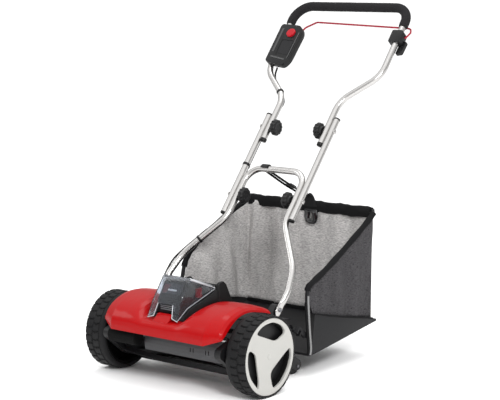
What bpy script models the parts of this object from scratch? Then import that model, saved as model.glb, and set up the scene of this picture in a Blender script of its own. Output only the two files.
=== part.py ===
"""Cordless reel mower with a rear grass bag, built as separate pieces.

Lengths are metres, +Z is up, the mower drives towards -Y and the handle rises towards +Y.
The design is written in the axle frame: its origin is on the ground below the wheels' axle.
The empty "mower" moves that frame so that the finished machine stands centred on the origin.
"""

import math

import bmesh
import bpy
from mathutils import Matrix, Vector

# Driving dimensions
GAP = 0.0003
WHEEL_R = 0.110
WHEEL_OUTER_X = 0.2870
REEL_Y, REEL_Z = -0.012, 0.109
REEL_R = 0.064
REEL_HALF = 0.187
BLADES = 5
BLADE_TWIST = math.radians(60)
PLATE_X0, PLATE_X1 = 0.1905, 0.1945
CASING_X0, CASING_X1 = 0.1948, 0.2110
MOTOR_Y, MOTOR_Z = -0.100, 0.1245
COVER_WALL = 0.0025
ROLLER_Y, ROLLER_R = 0.235, 0.025
ARM_PIVOT_Y, ARM_PIVOT_Z = 0.120, 0.085
TUBE_R = 0.0095
HANDLE_SLOPE = math.radians(51)
HANDLE_Y, HANDLE_Z = 0.7405, 0.9557
GRIP_S = 0.071
GRIP_R = 0.01425
TOP_X = 0.2085
INNER_LEG_X = 0.1045
SIDE_TUBE_X = 0.1242
UPPER_PIVOT_S = -0.383
LOWER_PIVOT_S = -0.625
LUG_S = -0.966
LUG_X = 0.2150
BAIL_PIVOT_S, BAIL_PIVOT_N = -0.036, -0.004
LID_PIVOT_Y, LID_PIVOT_Z = 0.062, 0.262
BAG_X = 0.2345
BAG_TOP = (0.558, 0.435)
BAG_BEND = (0.2400, 0.2535)
BAG_FOOT = (0.2460, 0.0640)
FRONT_Y = -0.1325

ORIGIN = Vector((0, 0, 0))
SLOPE_DIR = Vector((0, math.cos(HANDLE_SLOPE), math.sin(HANDLE_SLOPE)))
SLOPE_NORMAL = Vector((0, -math.sin(HANDLE_SLOPE), math.cos(HANDLE_SLOPE)))
REAR_Y = HANDLE_Y + GRIP_S * SLOPE_DIR.y + GRIP_R
SIDES = (("left", -1), ("right", 1))


# Places and plain geometry ---------------------------------------------------------------

def on_handle(x, s, n=0.0):
    """A point of the handle's own plane: s runs up the slope and n stands off its front."""
    return Vector((x, HANDLE_Y, HANDLE_Z)) + s * SLOPE_DIR + n * SLOPE_NORMAL


def along_x(u, v, w):
    return Vector((w, u, v))


def along_z(u, v, w):
    return Vector((u, v, w))


def mirrored(points, side):
    return [(side * p[0], *p[1:]) for p in points]


def circle(y, z, radius, steps=24, phase=0.0):
    turns = [phase + 2 * math.pi * k / steps for k in range(steps)]
    return [(y + radius * math.cos(t), z + radius * math.sin(t)) for t in turns]


def hull(circles, steps=24):
    """The convex outline round a set of circles given as (y, z, radius)."""
    points = sorted({p for c in circles for p in circle(*c, steps=steps)})

    def chain(ordered):
        line = []
        for p in ordered:
            while len(line) > 1 and turn(line[-2], line[-1], p) <= 1e-9:
                line.pop()
            line.append(p)
        return line[:-1]

    return chain(points) + chain(points[::-1])


def turn(a, b, c):
    return (b[0] - a[0]) * (c[1] - a[1]) - (b[1] - a[1]) * (c[0] - a[0])


def bend(points, radius, steps=5):
    """The line through the points with every inner corner rounded to an arc."""
    line = [points[0]]
    for before, corner, after in zip(points, points[1:], points[2:]):
        a = (corner - before).normalized()
        b = (after - corner).normalized()
        angle = a.angle(b)
        reach = radius * math.tan(angle / 2)
        centre = corner + (b - a).normalized() * (radius / math.cos(angle / 2))
        start = corner - a * reach - centre
        axis = a.cross(b)
        for k in range(steps + 1):
            line.append(centre + Matrix.Rotation(angle * k / steps, 3, axis) @ start)
    line.append(points[-1])
    return line


def prism(outline, place, low, high):
    """A closed solid: the outline pushed from one level to another."""
    bm = bmesh.new()
    ends = [[bm.verts.new(place(u, v, w)) for u, v in outline] for w in (low, high)]
    bm.faces.new(ends[0][::-1])
    bm.faces.new(ends[1])
    for k in range(len(outline)):
        j = (k + 1) % len(outline)
        bm.faces.new((ends[0][k], ends[0][j], ends[1][j], ends[1][k]))
    return bm


def box(low, high):
    corners = [(low[0], low[1]), (high[0], low[1]), (high[0], high[1]), (low[0], high[1])]
    return prism(corners, along_z, low[2], high[2])


def turned(profile, y, z, steps, phase=0.0, lobes=0):
    """A solid turned about an X line. The profile holds (x, radius) or (x, radius, lobe height).

    It closes on itself, or starts and ends on the axis where its first radius is zero.
    """
    bm = bmesh.new()
    rings = []
    for x, radius, *lobe in profile:
        if radius == 0:
            rings.append([bm.verts.new((x, y, z))])
            continue
        ring = []
        for k in range(steps):
            t = phase + 2 * math.pi * k / steps
            r = radius + (lobe[0] * math.cos(lobes * t) if lobe else 0)
            ring.append(bm.verts.new((x, y + r * math.cos(t), z + r * math.sin(t))))
        rings.append(ring)
    pairs = list(zip(rings, rings[1:]))
    if profile[0][1] != 0:
        pairs.append((rings[-1], rings[0]))
    for a, b in pairs:
        for k in range(steps):
            j = (k + 1) % steps
            if len(a) == 1:
                bm.faces.new((a[0], b[j], b[k]))
            elif len(b) == 1:
                bm.faces.new((a[k], a[j], b[0]))
            else:
                bm.faces.new((a[k], a[j], b[j], b[k]))
    return bm


def bar_x(y, z, radius, low, high, steps=16):
    return turned([(low, 0), (low, radius), (high, radius), (high, 0)], y, z, steps)


def ring_x(y, z, inner, outer, low, high, steps=24, phase=0.0):
    profile = [(low, inner), (low, outer), (high, outer), (high, inner)]
    return turned(profile, y, z, steps, phase)


def swept(path, sizes, sides, up, inner=0.0):
    """A tube along a path. sizes gives (half width, half height) at each point of it."""
    bm = bmesh.new()
    layers = [sizes] if inner == 0 else [sizes, [(inner, inner)] * len(path)]
    walls = []
    for layer in layers:
        rings = []
        for i, point in enumerate(path):
            before = path[max(i - 1, 0)]
            after = path[min(i + 1, len(path) - 1)]
            ahead = (after - before).normalized()
            side = ahead.cross(up).normalized()
            top = side.cross(ahead)
            ring = []
            for k in range(sides):
                t = 2 * math.pi * (k + 0.5) / sides
                across = side * (layer[i][0] * math.cos(t))
                ring.append(bm.verts.new(point + across + top * (layer[i][1] * math.sin(t))))
            rings.append(ring)
        walls.append(rings)
        for a, b in zip(rings, rings[1:]):
            for k in range(sides):
                j = (k + 1) % sides
                bm.faces.new((a[k], a[j], b[j], b[k]))
    for end in (0, -1):
        if inner == 0:
            bm.faces.new(walls[0][end])
            continue
        for k in range(sides):
            j = (k + 1) % sides
            outer, hole = walls[0][end], walls[1][end]
            bm.faces.new((outer[k], outer[j], hole[j], hole[k]))
    return bm


def even(path, radius):
    return [(radius, radius)] * len(path)


def sheet(grid):
    """An open sheet through rows of points; its faces look up or outwards."""
    bm = bmesh.new()
    rows = [[bm.verts.new(p) for p in row] for row in grid]
    for a, b in zip(rows, rows[1:]):
        for k in range(len(a) - 1):
            bm.faces.new((a[k], b[k], b[k + 1], a[k + 1]))
    return bm


# Objects, materials and joints ------------------------------------------------------------

def clear_scene():
    for obj in list(bpy.data.objects):
        bpy.data.objects.remove(obj, do_unlink=True)


def material(name, colour, roughness, metallic=0.0, alpha=1.0):
    mat = bpy.data.materials.get(name) or bpy.data.materials.new(name)
    mat.use_nodes = True
    shader = mat.node_tree.nodes["Principled BSDF"]
    shader.inputs["Base Color"].default_value = (*colour, 1)
    shader.inputs["Roughness"].default_value = roughness
    shader.inputs["Metallic"].default_value = metallic
    shader.inputs["Alpha"].default_value = alpha
    return mat


def red_plastic():
    return material("red_plastic", (0.62, 0.02, 0.03), 0.32)


def black_plastic():
    return material("black_plastic", (0.02, 0.02, 0.022), 0.45)


def black_steel():
    return material("black_steel", (0.03, 0.03, 0.032), 0.5, 0.4)


def grey_steel():
    return material("grey_steel", (0.33, 0.33, 0.34), 0.38, 0.9)


def aluminium():
    return material("aluminium", (0.72, 0.72, 0.74), 0.3, 0.95)


def silver_plastic():
    return material("silver_plastic", (0.62, 0.62, 0.60), 0.4, 0.3)


def rubber():
    return material("rubber", (0.03, 0.03, 0.03), 0.85)


def foam():
    return material("foam", (0.025, 0.025, 0.027), 0.95)


def clear_plastic():
    return material("clear_plastic", (0.55, 0.57, 0.6), 0.08, 0.0, 0.35)


def red_metal():
    return material("red_metal", (0.6, 0.03, 0.04), 0.3, 0.2)


def mesh_fabric():
    return material("mesh_fabric", (0.3, 0.3, 0.3), 0.9)


def axis_empty(name, place, parent):
    empty = bpy.data.objects.new(name, None)
    empty.empty_display_size = 0.05
    bpy.context.scene.collection.objects.link(empty)
    empty["place"] = tuple(place)
    if parent:
        empty.parent = parent
        empty.location = place - Vector(parent["place"])
    else:
        empty.location = place
    return empty


def piece(name, bm, mat, parent, smooth=35):
    """One solid whose origin is the empty that carries it."""
    bmesh.ops.recalc_face_normals(bm, faces=bm.faces)
    bmesh.ops.translate(bm, verts=bm.verts, vec=-Vector(parent["place"]))
    mesh = bpy.data.meshes.new(name)
    bm.to_mesh(mesh)
    bm.free()
    mesh.shade_smooth()
    mesh.set_sharp_from_angle(angle=math.radians(smooth))
    mesh.materials.append(mat)
    obj = bpy.data.objects.new(name, mesh)
    bpy.context.scene.collection.objects.link(obj)
    obj.parent = parent
    return obj


def tool(name, bm, parent):
    """A cutter or a joined shape, kept out of renders."""
    obj = piece(name, bm, black_plastic(), parent)
    obj.hide_render = True
    obj.display_type = "WIRE"
    return obj


def boolean(obj, operation, *tools):
    for other in tools:
        modifier = obj.modifiers.new(other.name, "BOOLEAN")
        modifier.operation = operation
        modifier.object = other
        modifier.solver = "EXACT"


def thicken(obj, wall):
    modifier = obj.modifiers.new("wall", "SOLIDIFY")
    modifier.thickness = wall
    modifier.offset = -1
    modifier.use_even_offset = True


# Chassis ------------------------------------------------------------------------------------

PLATE_BODY = [
    (REEL_Y, REEL_Z, 0.058),
    (MOTOR_Y, MOTOR_Z, 0.016),
    (0.030, 0.042, 0.012),
    (ARM_PIVOT_Y, ARM_PIVOT_Z, 0.014),
    (0.208, 0.132, 0.015),
]
CASING_BODY = [(REEL_Y, REEL_Z, 0.060), (MOTOR_Y, MOTOR_Z, 0.016), (0.020, 0.105, 0.045)]
LUG_PLACE = on_handle(LUG_X, LUG_S)
LUG_ARM = [(LUG_PLACE.y, LUG_PLACE.z, 0.0145), (0.080, 0.130, 0.030)]
BAG_PIN = (0.208, 0.132)


def shrunk(circles, amount):
    return [(y, z, r - amount) for y, z, r in circles]


def side_x(side, low, high):
    """The X span of a layer on one side, in rising order."""
    return (low, high) if side > 0 else (-high, -low)


def side_plate(name, side, root):
    """Steel plate with the reel's bearing seat, the arm's pivot stud and the bag's pin."""
    low, high = side_x(side, PLATE_X0, PLATE_X1)
    plate = piece(f"side_plate_{name}", prism(hull(PLATE_BODY), along_x, low, high), black_steel(), root)
    arm = tool(f"plate_arm_{name}", prism(hull(LUG_ARM), along_x, low, high), root)
    stud = tool(
        f"plate_stud_{name}",
        bar_x(ARM_PIVOT_Y, ARM_PIVOT_Z, 0.005, *side_x(side, PLATE_X0 + 0.001, 0.2045)),
        root,
    )
    pin = tool(f"plate_pin_{name}", bar_x(*BAG_PIN, 0.004, *side_x(side, PLATE_X0 + 0.001, 0.2225)), root)
    seat = tool(f"plate_seat_{name}", bar_x(REEL_Y, REEL_Z, 0.0138, -0.3, 0.3, 24), root)
    shaft_hole = tool(f"plate_hole_{name}", bar_x(MOTOR_Y, MOTOR_Z, 0.0040, -0.3, 0.3, 12), root)
    boolean(plate, "UNION", arm, stud, pin)
    boolean(plate, "DIFFERENCE", seat, shaft_hole)


def side_casing(name, side, root):
    """Moulded shell over the plate's outer face, open towards it, with the handle's stud."""
    low, high = side_x(side, CASING_X0, CASING_X1)
    casing = piece(
        f"side_casing_{name}", prism(hull(CASING_BODY), along_x, low, high), black_plastic(), root
    )
    arm = tool(f"casing_arm_{name}", prism(hull(LUG_ARM), along_x, low, high), root)
    stud = tool(
        f"casing_stud_{name}",
        bar_x(LUG_PLACE.y, LUG_PLACE.z, 0.0032, *side_x(side, CASING_X1 - 0.002, 0.2200), 12),
        root,
    )
    inside = side_x(side, CASING_X0 - 0.003, CASING_X1 - 0.003)
    pocket_shape = prism(hull(shrunk(CASING_BODY, 0.003)), along_x, *inside)
    pocket = tool(f"casing_pocket_{name}", pocket_shape, root)
    boolean(casing, "UNION", arm, stud)
    boolean(casing, "DIFFERENCE", pocket)


def axle(name, side, root):
    """Flanged stub axle that carries one wheel."""
    profile = [
        (0.2113, 0), (0.2113, 0.020), (0.2140, 0.020), (0.2140, 0.008), (0.2700, 0.008),
        (0.2700, 0),
    ]
    piece(f"axle_{name}", turned(mirrored(profile, side), 0, WHEEL_R, 24), grey_steel(), root)


def bearing(name, side, root):
    low, high = side_x(side, 0.1900, 0.1965)
    piece(f"reel_bearing_{name}", ring_x(REEL_Y, REEL_Z, 0.0064, 0.0135, low, high), grey_steel(), root)


COVER_STATIONS = [
    (0.0625, [(-0.1325, 0.146), (-0.1315, 0.160), (-0.1285, 0.174), (-0.118, 0.184), (-0.085, 0.188),
              (-0.030, 0.196), (0.030, 0.203), (0.080, 0.206), (0.116, 0.203)]),
    (0.0860, [(-0.1325, 0.146), (-0.1320, 0.162), (-0.1275, 0.180), (-0.110, 0.198), (-0.075, 0.212),
              (-0.028, 0.2215), (0.028, 0.224), (0.078, 0.217), (0.116, 0.206)]),
    (0.1150, [(-0.1325, 0.146), (-0.1320, 0.163), (-0.1260, 0.183), (-0.105, 0.205), (-0.070, 0.2215),
              (-0.025, 0.2300), (0.025, 0.231), (0.075, 0.222), (0.116, 0.207)]),
    (0.1650, [(-0.1325, 0.146), (-0.1320, 0.163), (-0.1255, 0.183), (-0.104, 0.206), (-0.069, 0.2225),
              (-0.024, 0.2320), (0.025, 0.2325), (0.075, 0.223), (0.116, 0.207)]),
    (0.1880, [(-0.1190, 0.154), (-0.1210, 0.166), (-0.1165, 0.183), (-0.098, 0.204), (-0.066, 0.2215),
              (-0.022, 0.2325), (0.020, 0.2325), (0.064, 0.2245), (0.098, 0.2135)]),
    (0.2050, [(-0.1090, 0.1595), (-0.1125, 0.168), (-0.1065, 0.184), (-0.089, 0.203), (-0.059, 0.2175),
              (-0.020, 0.2275), (0.020, 0.2275), (0.064, 0.2190), (0.098, 0.2085)]),
    (0.2120, [(-0.1050, 0.162), (-0.1055, 0.1665), (-0.0955, 0.1735), (-0.077, 0.190), (-0.047, 0.210),
              (-0.016, 0.2180), (0.018, 0.2180), (0.064, 0.2090), (0.098, 0.2000)]),
]


def reel_cover(root):
    """Pressed red shell with a hump each side of the battery and a low band before it."""
    half = [[Vector((x, y, z)) for y, z in profile] for x, profile in COVER_STATIONS]
    other = [[Vector((-p.x, p.y, p.z)) for p in row] for row in half[::-1]]
    cover = piece("reel_cover", sheet(other + half), red_plastic(), root, smooth=25)
    face_up(cover)
    thicken(cover, COVER_WALL)


def face_up(obj):
    """Turns an open sheet over where its faces look down."""
    up = sum(p.normal.z * p.area for p in obj.data.polygons)
    if up < 0:
        obj.data.flip_normals()


def arc_sheet(y, z, inner, outer, start, end, steps):
    """The outline of a sheet bent round an X line, between two angles in degrees."""
    turns = [math.radians(start + (end - start) * k / steps) for k in range(steps + 1)]
    out = [(y + outer * math.cos(t), z + outer * math.sin(t)) for t in turns]
    back = [(y + inner * math.cos(t), z + inner * math.sin(t)) for t in reversed(turns)]
    return out + back


def front_guard(root):
    """Curved steel guard before the upper half of the reel, with two pairs of slots."""
    outline = arc_sheet(REEL_Y, REEL_Z, REEL_R + 0.0025, REEL_R + 0.0042, 145, 196, 6)
    guard = piece("front_guard", prism(outline, along_x, -0.0880, 0.1895), grey_steel(), root)
    for k, x in enumerate((0.077, 0.087, 0.131, 0.141)):
        slot = tool(f"guard_slot_{k}", box((x - 0.0015, -0.09, 0.107), (x + 0.0015, -0.06, 0.119)), root)
        boolean(guard, "DIFFERENCE", slot)


def rear_deflector(root):
    """Sheet that throws the grass back into the bag."""
    outline = [
        (0.070, 0.1760), (0.130, 0.1720), (0.214, 0.1600), (0.214, 0.1620), (0.130, 0.1740),
        (0.070, 0.1780),
    ]
    piece("rear_deflector", prism(outline, along_x, -0.1895, 0.1895), black_steel(), root)


def bed_knife(root):
    blade = [(0.0060, 0.0462), (0.0480, 0.0430), (0.0480, 0.0400), (0.0075, 0.0425)]
    piece("bed_knife", prism(blade, along_x, -0.1895, 0.1895), grey_steel(), root)
    holder = [
        (0.0130, 0.0395), (0.0480, 0.0375), (0.0530, 0.0520), (0.0570, 0.0500), (0.0500, 0.0310),
        (0.0150, 0.0320),
    ]
    piece("bed_knife_bar", prism(holder, along_x, -0.1895, 0.1895), black_steel(), root)


def motor(root, rotor):
    """Motor can beside the reel, and its shaft with the small belt wheel."""
    shell = [
        (-0.1600, 0), (-0.1600, 0.0036), (-0.1898, 0.0036), (-0.1898, 0.0200),
        (-0.1880, 0.0215), (-0.0940, 0.0215), (-0.0920, 0.0195), (-0.0920, 0),
    ]
    piece("motor_housing", turned(shell, MOTOR_Y, MOTOR_Z, 24), black_plastic(), root)
    shaft = [
        (-0.1620, 0), (-0.1620, 0.0030), (-0.1970, 0.0030), (-0.1970, 0.0080), (-0.2045, 0.0080),
        (-0.2045, 0),
    ]
    piece("motor_pulley", turned(shaft, MOTOR_Y, MOTOR_Z, 20), grey_steel(), rotor)


def drive_belt(root):
    outer = hull([(REEL_Y, REEL_Z, 0.0263), (MOTOR_Y, MOTOR_Z, 0.0103)], 32)
    belt = piece("drive_belt", prism(outer, along_x, -0.2040, -0.1975), rubber(), root)
    inner = hull([(REEL_Y, REEL_Z, 0.0243), (MOTOR_Y, MOTOR_Z, 0.0083)], 32)
    boolean(belt, "DIFFERENCE", tool("belt_inside", prism(inner, along_x, -0.21, -0.19), root))


# Reel ---------------------------------------------------------------------------------------

def helical_blade(start):
    """A strip wound round the reel: its edge stands at REEL_R."""
    bm = bmesh.new()
    steps = 14
    half = 0.0011
    rings = []
    for k in range(steps + 1):
        x = -REEL_HALF + 2 * REEL_HALF * k / steps
        t = start + BLADE_TWIST * k / steps
        out = Vector((0, math.cos(t), math.sin(t)))
        across = Vector((0, -math.sin(t), math.cos(t)))
        centre = Vector((x, REEL_Y, REEL_Z))
        corners = [(0.0505, -half), (REEL_R, -half), (REEL_R, half), (0.0505, half)]
        rings.append([bm.verts.new(centre + out * r + across * w) for r, w in corners])
    bm.faces.new(rings[0])
    bm.faces.new(rings[-1])
    for a, b in zip(rings, rings[1:]):
        for k in range(4):
            j = (k + 1) % 4
            bm.faces.new((a[k], a[j], b[j], b[k]))
    return bm


def reel(parent):
    piece("reel_shaft", bar_x(REEL_Y, REEL_Z, 0.006, -0.2055, 0.2055), grey_steel(), parent)
    for name, side in SIDES:
        low, high = side_x(side, 0.1815, 0.1845)
        disc = ring_x(REEL_Y, REEL_Z, 0.0063, 0.0500, low, high)
        piece(f"reel_disc_{name}", disc, black_steel(), parent)
    for k in range(BLADES):
        piece(f"reel_blade_{k + 1}", helical_blade(2 * math.pi * k / BLADES), grey_steel(), parent)
    pulley = ring_x(REEL_Y, REEL_Z, 0.0063, 0.0240, -0.2040, -0.1975, 32)
    piece("reel_pulley", pulley, black_plastic(), parent)


# Wheels and roller ----------------------------------------------------------------------------

TYRE_STEPS = 48


def tyre(name, side, parent):
    facet = 1 / math.cos(math.pi / TYRE_STEPS)
    tread = WHEEL_R * facet
    profile = [
        (0.2205, 0.0935), (0.2172, 0.0965), (0.2180, 0.1010), (0.2240, 0.1070), (0.2330, tread),
        (0.2845, tread), (WHEEL_OUTER_X, 0.1075), (WHEEL_OUTER_X, 0.1045), (0.2802, 0.1045),
        (0.2802, 0.0935),
    ]
    bm = turned(mirrored(profile, side), 0, WHEEL_R, TYRE_STEPS, math.pi / TYRE_STEPS)
    piece(f"tyre_{name}", bm, rubber(), parent)


def wheel_rim(name, side, parent):
    profile = [
        (0.2178, 0.0084), (0.2178, 0.0180), (0.2630, 0.0180), (0.2630, 0.0880), (0.2215, 0.0880),
        (0.2215, 0.0930), (0.2798, 0.0930), (0.2798, 0.0880), (0.2665, 0.0880), (0.2665, 0.0180),
        (0.2705, 0.0180), (0.2705, 0.0084),
    ]
    piece(f"wheel_rim_{name}", turned(mirrored(profile, side), 0, WHEEL_R, 28), black_plastic(), parent)


CAP_R = 0.1038
CAP_OPENING = [
    (0.0880, 42), (0.0910, 56), (0.0915, 75), (0.0915, 90), (0.0915, 105), (0.0910, 124), (0.0880, 138),
    (0.0700, 135), (0.0420, 95), (0.0400, 90), (0.0420, 85), (0.0700, 45),
]


def hub_cap(name, side, parent):
    """Silver trim disc: a rim and three spokes between three rounded openings."""
    profile = [(0.2806, 0), (0.2806, CAP_R), (0.2855, CAP_R), (0.2868, CAP_R - 0.0015), (0.2868, 0)]
    cap = piece(
        f"hub_cap_{name}", turned(mirrored(profile, side), 0, WHEEL_R, 36, 0.03), silver_plastic(), parent
    )
    for k in range(3):
        turned_by = 120 * k - 6
        outline = []
        for radius, degrees in CAP_OPENING:
            t = math.radians(degrees + turned_by)
            outline.append((radius * math.cos(t), WHEEL_R + radius * math.sin(t)))
        hole = prism(outline, along_x, *side_x(side, 0.27, 0.30))
        cutter = tool(f"cap_opening_{name}_{k}", hole, parent)
        boolean(cap, "DIFFERENCE", cutter)


def roller_set(carrier, roller):
    """Two arms with a fixed axle, and the roller that turns on it."""
    for name, side in SIDES:
        low, high = side_x(side, 0.1975, 0.2025)
        outline = hull([(ARM_PIVOT_Y, ARM_PIVOT_Z, 0.014), (ROLLER_Y, ROLLER_R + 0.004, 0.016)])
        arm = piece(f"roller_arm_{name}", prism(outline, along_x, low, high), black_plastic(), carrier)
        pivot_bar = bar_x(ARM_PIVOT_Y, ARM_PIVOT_Z, 0.0056, -0.3, 0.3)
        pivot_hole = tool(f"arm_pivot_hole_{name}", pivot_bar, carrier)
        axle_hole = tool(f"arm_axle_hole_{name}", bar_x(ROLLER_Y, ROLLER_R, 0.0045, -0.3, 0.3), carrier)
        boolean(arm, "DIFFERENCE", pivot_hole, axle_hole)
    piece("roller_axle", bar_x(ROLLER_Y, ROLLER_R, 0.0040, -0.2045, 0.2045), grey_steel(), carrier)
    steps = 32
    facet = 1 / math.cos(math.pi / steps)
    bm = ring_x(ROLLER_Y, ROLLER_R, 0.0046, ROLLER_R * facet, -0.1880, 0.1880, steps, math.pi / steps)
    piece("rear_roller", bm, black_plastic(), roller)


# Battery bay ------------------------------------------------------------------------------------

HOUSING_HALF = 0.0600
LID_HALF = 0.0530


def battery_housing(root):
    """Black tray on the cover: side walls under the lid, hinge ears behind and a battery pocket."""
    bottom = [
        (-0.1000, 0.1872), (-0.0850, 0.1890), (-0.0300, 0.1970), (0.0300, 0.2040),
        (0.0800, 0.2070), (0.1130, 0.2046),
    ]
    rear = [(0.1130, 0.2090), (0.0840, 0.2600), (0.0740, 0.2685), (0.0600, 0.2700), (0.0570, 0.2600)]
    top = [(0.0540, 0.2525), (-0.0620, 0.2163), (-0.0960, 0.1882)]
    housing = piece(
        "battery_housing",
        prism(bottom + rear + top, along_x, -HOUSING_HALF, HOUSING_HALF),
        black_plastic(),
        root,
    )
    between = tool("housing_between", box((-0.0536, 0.0380, 0.2495), (0.0536, 0.1050, 0.2800)), root)
    pocket_outline = [
        (-0.0830, 0.1965), (-0.0300, 0.2030), (0.0450, 0.2150), (0.0450, 0.3000),
        (-0.0830, 0.3000),
    ]
    pocket = tool("housing_pocket", prism(pocket_outline, along_x, -0.0410, 0.0410), root)
    pin_hole = tool("housing_pin_hole", bar_x(LID_PIVOT_Y, LID_PIVOT_Z, 0.0030, -0.1, 0.1, 12), root)
    boolean(housing, "DIFFERENCE", between, pocket, pin_hole)
    pin = bar_x(LID_PIVOT_Y, LID_PIVOT_Z, 0.0025, -0.0592, 0.0592, 12)
    piece("lid_hinge_pin", pin, grey_steel(), root)


BUTTON_Y, BUTTON_Z = -0.002, 0.252


def battery(root, release):
    outline = [
        (-0.0800, 0.2005), (-0.0290, 0.2070), (0.0420, 0.2180), (0.0420, 0.2700), (0.0385, 0.2735),
        (-0.0400, 0.2905), (-0.0465, 0.2885), (-0.0800, 0.2380),
    ]
    pack = piece("battery_pack", prism(outline, along_x, -0.0395, 0.0395), black_plastic(), root)
    recess = tool(
        "pack_recess",
        box(
            (0.0325, BUTTON_Y - 0.0115, BUTTON_Z - 0.0135),
            (0.0450, BUTTON_Y + 0.0115, BUTTON_Z + 0.0135),
        ),
        root,
    )
    boolean(pack, "DIFFERENCE", recess)
    low = (0.0362, BUTTON_Y - 0.0110, BUTTON_Z - 0.0130)
    high = (0.0435, BUTTON_Y + 0.0110, BUTTON_Z + 0.0130)
    button = box(low, high)
    piece("battery_release_button", button, red_plastic(), release)


def battery_lid(lid):
    """Clear visor: steep face, sloping top, chamfered sides and two prongs at the front."""
    bm = bmesh.new()
    right = {
        "crest": (0.0460, -0.0440, 0.3000),
        "crest_side": (0.0510, -0.0450, 0.2970),
        "face_foot": (0.0500, -0.0900, 0.2330),
        "prong_tip": (LID_HALF, -0.1055, 0.1905),
        "prong_in": (0.0360, -0.1030, 0.1990),
        "prong_root": (0.0300, -0.0918, 0.2305),
        "side_low": (LID_HALF, -0.0633, 0.2190),
        "rear_low": (LID_HALF, 0.0552, 0.2562),
        "rear_side": (LID_HALF, 0.0530, 0.2610),
        "rear_top": (0.0440, 0.0500, 0.2790),
    }
    verts = {}
    for name, side in SIDES:
        for key, (x, y, z) in right.items():
            verts[name, key] = bm.verts.new((side * x, y, z))
    for name, side in SIDES:
        for keys in (
            ("crest", "rear_top", "rear_side", "crest_side"),
            ("crest_side", "rear_side", "rear_low", "side_low", "face_foot"),
            ("face_foot", "side_low", "prong_tip"),
            ("face_foot", "prong_tip", "prong_in", "prong_root"),
        ):
            bm.faces.new([verts[name, key] for key in keys])
    for keys in (("crest", "rear_top"), ("rear_top", "rear_side"), ("rear_side", "rear_low")):
        first, second = keys
        ends = [
            verts["left", first], verts["right", first], verts["right", second], verts["left", second],
        ]
        bm.faces.new(ends)
    front = ["crest", "crest_side", "face_foot", "prong_root"]
    bm.faces.new([verts["left", key] for key in front] + [verts["right", key] for key in front[::-1]])
    visor = piece("battery_lid", bm, clear_plastic(), lid, smooth=20)
    face_up(visor)
    thicken(visor, 0.0020)
    barrel = tool("lid_barrel", bar_x(LID_PIVOT_Y, LID_PIVOT_Z, 0.0052, -0.0515, 0.0515), lid)
    web = tool("lid_web", box((-0.0515, 0.0525, 0.2595), (0.0515, 0.0620, 0.2645)), lid)
    bore = tool("lid_bore", bar_x(LID_PIVOT_Y, LID_PIVOT_Z, 0.0030, -0.1, 0.1, 12), lid)
    boolean(visor, "UNION", web, barrel)
    boolean(visor, "DIFFERENCE", bore)


# Handle -----------------------------------------------------------------------------------------

def handle_points(points):
    return [on_handle(*p) for p in points]


def lower_handle(root, pivot_cut):
    """Both lower legs and the arch between them, bent from one tube with flattened ends."""
    right = [
        (INNER_LEG_X, -0.528), (INNER_LEG_X, -0.700), (0.2010, -0.838), (0.2165, -0.905),
        (0.2155, -0.938),
    ]
    corners = handle_points([(-x, s) for x, s in right[::-1]] + right)
    inner = bend(corners[1:-1], 0.045)
    lug_top = [on_handle(LUG_X, -0.950), on_handle(LUG_X, -0.985)]
    other = [Vector((-p.x, p.y, p.z)) for p in reversed(lug_top)]
    path = other + [corners[0]] + inner + [corners[-1]] + lug_top
    sizes = even(path, TUBE_R)
    flat = (0.0023, 0.0125)
    for k in (1, -2):
        sizes[k] = flat
    for k in (0, -1):
        sizes[k] = (0.0023, 0.0105)
    handle = piece("lower_handle", swept(path, sizes, 10, SLOPE_NORMAL), aluminium(), root)
    bolt_hole = tool("lug_hole", bar_x(LUG_PLACE.y, LUG_PLACE.z, 0.0038, -0.3, 0.3, 12), root)
    boolean(handle, "DIFFERENCE", pivot_cut, bolt_hole)


def side_tube(name, side, parent, cuts):
    path = handle_points([(side * SIDE_TUBE_X, -0.340), (side * SIDE_TUBE_X, -0.690)])
    bar = swept(path, even(path, TUBE_R), 12, SLOPE_NORMAL)
    tube = piece(f"side_tube_{name}", bar, aluminium(), parent)
    boolean(tube, "DIFFERENCE", *cuts)


def upper_handle(parent, pivot_cut):
    right = [(TOP_X, GRIP_S), (TOP_X, -0.180), (INNER_LEG_X, -0.275), (INNER_LEG_X, -0.432)]
    corners = handle_points([(-x, s) for x, s in right[::-1]] + right)
    wide = bend(corners[2:6], 0.055, 6)
    path = bend(corners[:4], 0.035)[:-1] + wide[1:-1] + bend(corners[4:], 0.035)[1:]
    handle = piece("upper_handle", swept(path, even(path, TUBE_R), 10, SLOPE_NORMAL), aluminium(), parent)
    boolean(handle, "DIFFERENCE", pivot_cut)


def foam_grip(parent):
    """Foam sleeve over the handle's top bar and the start of both legs."""
    corners = handle_points([(-TOP_X, 0), (-TOP_X, GRIP_S), (TOP_X, GRIP_S), (TOP_X, 0)])
    path = bend(corners, 0.055, 6)
    piece("foam_grip", swept(path, even(path, GRIP_R), 12, SLOPE_NORMAL, TUBE_R + 0.0004), foam(), parent)


def knob(name, s, side, parent):
    """Lobed clamping knob with the stud that joins two tubes."""
    profile = [
        (0.0705, 0), (0.0705, 0.0170, 0.0), (0.0725, 0.0222, 0.0026), (0.0900, 0.0222, 0.0026),
        (0.0915, 0.0120, 0.0), (0.0944, 0.0120, 0.0), (0.0944, 0.0030, 0.0), (0.1342, 0.0030, 0.0),
        (0.1342, 0.0068, 0.0), (0.1370, 0.0068, 0.0), (0.1385, 0.0045, 0.0), (0.1385, 0),
    ]
    centre = on_handle(0, s)
    bm = turned(mirrored(profile, side), centre.y, centre.z, 24, 0.0, 6)
    piece(name, bm, black_plastic(), parent)


BUTTON_PLACE = (-0.1720, -0.0480)


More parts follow.
